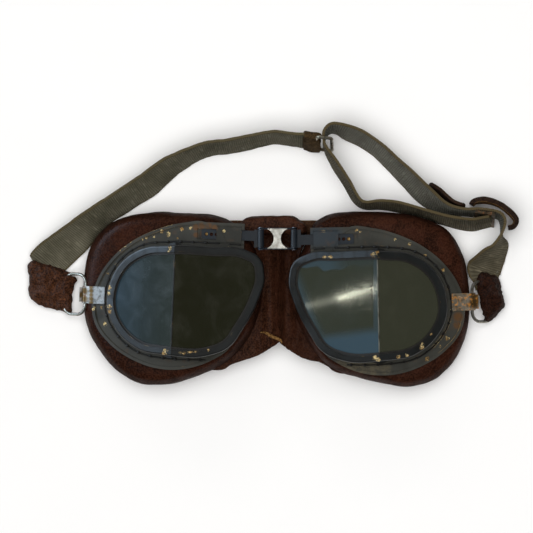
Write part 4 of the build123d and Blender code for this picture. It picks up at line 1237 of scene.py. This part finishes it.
def laid_strip(name, stations, thickness, finish_names, wave=0.0, back=0, round_off=0.3,
               tuck=(0.0, 0.0)):
    """Flat grid laid along the stations, with its thickness added."""
    rows = strap_rows(stations, thickness)
    length = rows[-1][0]
    bm = flat_grid(max(12, int(length / 0.9)), 12)
    way_along = bm.verts.layers.float.new("along")
    way_across = bm.verts.layers.float.new("across")
    at = 0
    for v in sorted(bm.verts, key=lambda v: v.co.x):
        goal, share = (v.co.x + 0.5) * length, v.co.y
        while at < len(rows) - 2 and rows[at + 1][0] < goal:
            at += 1
        a, b = rows[at], rows[at + 1]
        t = min(1.0, (goal - a[0]) / max(1e-6, b[0] - a[0]))
        middle, across = a[1].lerp(b[1], t), a[2].lerp(b[2], t).normalized()
        skin = a[3].lerp(b[3], t).normalized().cross(across)
        v[way_along], v[way_across] = goal * mm, share * strap_width * mm
        drawn_in = 1.0
        for tucked, gone in ((tuck[0], goal), (tuck[1], length - goal)):
            drawn_in *= 0.58 + 0.42 * smoothstep(tucked * 0.4, tucked + 0.01, gone)
        fray = drawn_in + 0.006 * noise.noise(Vector((goal * 0.7, share * 3, 2)))
        bow = wave * (noise.noise(Vector((goal * 0.11, share * 1.6, 5)))
                      + 0.35 * noise.noise(Vector((goal * 0.4, share * 3, 9))))
        v.co = (middle + across * share * strap_width * fray + skin * bow) * mm
    strip = object_of(bm, name, *finish_names)
    rounded(thick(strip, thickness * mm, back=back), round_off * mm)
    print(name, "is", round(length, 1), "mm long")
    return strip

# %% Webbing and the leather on it

left_webbing = laid_strip("left_strap_webbing", left_stations, 1.4,
                          ("webbing_outer", "webbing_inner"), 0.5, 1, tuck=(3.0, 0.0))
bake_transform(left_webbing)
right_webbing = laid_strip("right_strap_webbing", right_stations, 1.3,
                           ("webbing_khaki", "webbing_inner"), 0.15, 1, tuck=(0.0, 9.5))
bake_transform(right_webbing)
keeper = laid_strip("strap_keeper", keeper_stations, 3.4, ("keeper_hide",), 1.1, round_off=0.9)
backing = laid_strip("strap_backing", backing_stations, 1.5, ("guard_hide",), 0.2)
guard = laid_strip("strap_guard", guard_stations, 2.4, ("guard_hide", "raw_hide"), 0.25, 1, 0.7)
for piece, *words in (
    (left_webbing, "left_webbing", "webbing"),
    (right_webbing, "right_webbing", "webbing"),
    (keeper, "webbing_keeper", "tab_leather", "bridge"),
    (backing, "backing_tab", "tan_leather", "bridge"),
    (guard, "leather_guard", "tan_leather", "bridge"),
):
    stands_for(piece, *words)

# %% Stitches where the webbing is sewn back

bm = bmesh.new()
sewn_at = [(1.020, 0.9665, 84, 73), (1.030, 0.967, 84, 73)]
stitch_count, stitch_gap = 9, 1.75
_, middle, across, _ = strap_rows(sewn_at, 0.6)[-1]
turn = across.to_track_quat("X", "Z").to_matrix().to_4x4()
for i in range(stitch_count):
    spot = middle + across * (i - stitch_count // 2) * stitch_gap + Vector((0.1, 0.0, 0))
    shape = Matrix.Translation(spot * mm) @ turn @ Matrix.Diagonal((1.3, 0.5, 0.45, 1))
    bmesh.ops.create_uvsphere(bm, u_segments=10, v_segments=8, radius=0.65 * mm, matrix=shape)
stitches = object_of(bm, "slide_stitches", "pale_thread")
stands_for(stitches, "slide_stitching", "thread_light", "bridge")

# %% [markdown]
# ## Folded tabs
# A piece of leather is folded round the outer bar of each ring and sewn to the end of the
# webbing. After decades it is crumpled and stiff. Each tab is a closed form over its cut
# outline, remeshed into even small faces and then rumpled with sharp creases.

# %% Cut outlines of the tabs

tab_outlines = {
    "left": [(62, 271), (56, 268.5), (46, 266), (36, 264), (29, 261), (24.8, 263), (25.4, 276),
             (26.2, 289), (28, 298), (34, 303), (42, 306), (53, 308.5), (61, 311.5),
             (66.5, 312), (67.2, 304), (68.2, 294), (70.4, 286), (74.4, 279.5), (73, 276),
             (68, 275)],
    "right": [(476.5, 276.5), (480, 274), (487, 273), (493, 275), (497, 281), (499.5, 290),
              (502.5, 298), (503, 305), (499.5, 311), (494, 315.5), (489, 319.5), (485.5, 322),
              (484.5, 314), (482, 307), (480, 298), (477.5, 290), (475.5, 283)],
}
tab_section = ((0.35, 0.0), (0.72, 0.0), (0.93, 0.05), (1.0, 0.28), (0.99, 0.55), (0.95, 0.80),
               (0.84, 0.95), (0.6, 1.0), (0.3, 1.0))
tab_base = 0.4
tab_high = {"left": 5.4, "right": 8.0}
tab_seed = {"left": 11, "right": 5}

# %% Crumpled tabs


def tab_ring(side, scale, share):
    """Outline of a tab drawn in towards its middle, at a share of its height."""
    fine = curve([seen_at(*p) for p in tab_outlines[side]], 4, closed=True)
    middle = sum(fine, Vector((0, 0))) / len(fine)
    z = (tab_base + share * (tab_high[side] - tab_base)) * mm
    return [Vector((*middle.lerp(p, scale), z)) for p in fine]


def evened(bm, size):
    """The same closed form with even small faces."""
    draft = modified(object_of(bm, "draft"), "REMESH", mode="VOXEL", voxel_size=size)
    mesh = bpy.data.meshes.new_from_object(
        draft.evaluated_get(bpy.context.evaluated_depsgraph_get()))
    bpy.data.objects.remove(draft)
    bm = bmesh.new()
    bm.from_mesh(mesh)
    bpy.data.meshes.remove(mesh)
    return bm


for side in sides:
    rings = [tab_ring(side, scale, share) for scale, share in tab_section]
    bm = evened(bridged(rings, capped=True), 0.42 * mm)
    rumple(bm, 2.1 * mm, 6.0 * mm, tab_seed[side], 0.75)
    rumple(bm, 0.9 * mm, 2.4 * mm, 2, 0.7)
    bmesh.ops.smooth_vert(bm, verts=bm.verts, factor=0.5, use_axis_x=True, use_axis_y=True,
                          use_axis_z=True)
    tab = object_of(bm, side + "_folded_tab", side + "_tab_hide")
    stands_for(tab, side + "_strap_tab", "tab_leather")
    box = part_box(side + "_strap_tab")
    near, far = (box[1], box[0]) if side == "left" else (box[0], box[1])
    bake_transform(tab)
    print(tab.name, len(tab.data.polygons), "faces")

# %% [markdown]
# ## Table
# The goggles lie on a plain white table. It isn't part of the object.

# %% Table

where = finish_named("table_white", (0.96, 0.96, 0.96), 0.9, Specular_IOR_Level=0.1)
to_shader("Base Color", blend(cloud(where, 20, 2), (0.95, 0.955, 0.96), (0.97, 0.975, 0.98)))
table = object_of(flat_grid(1, 1, 4.0), "table_top", "table_white")
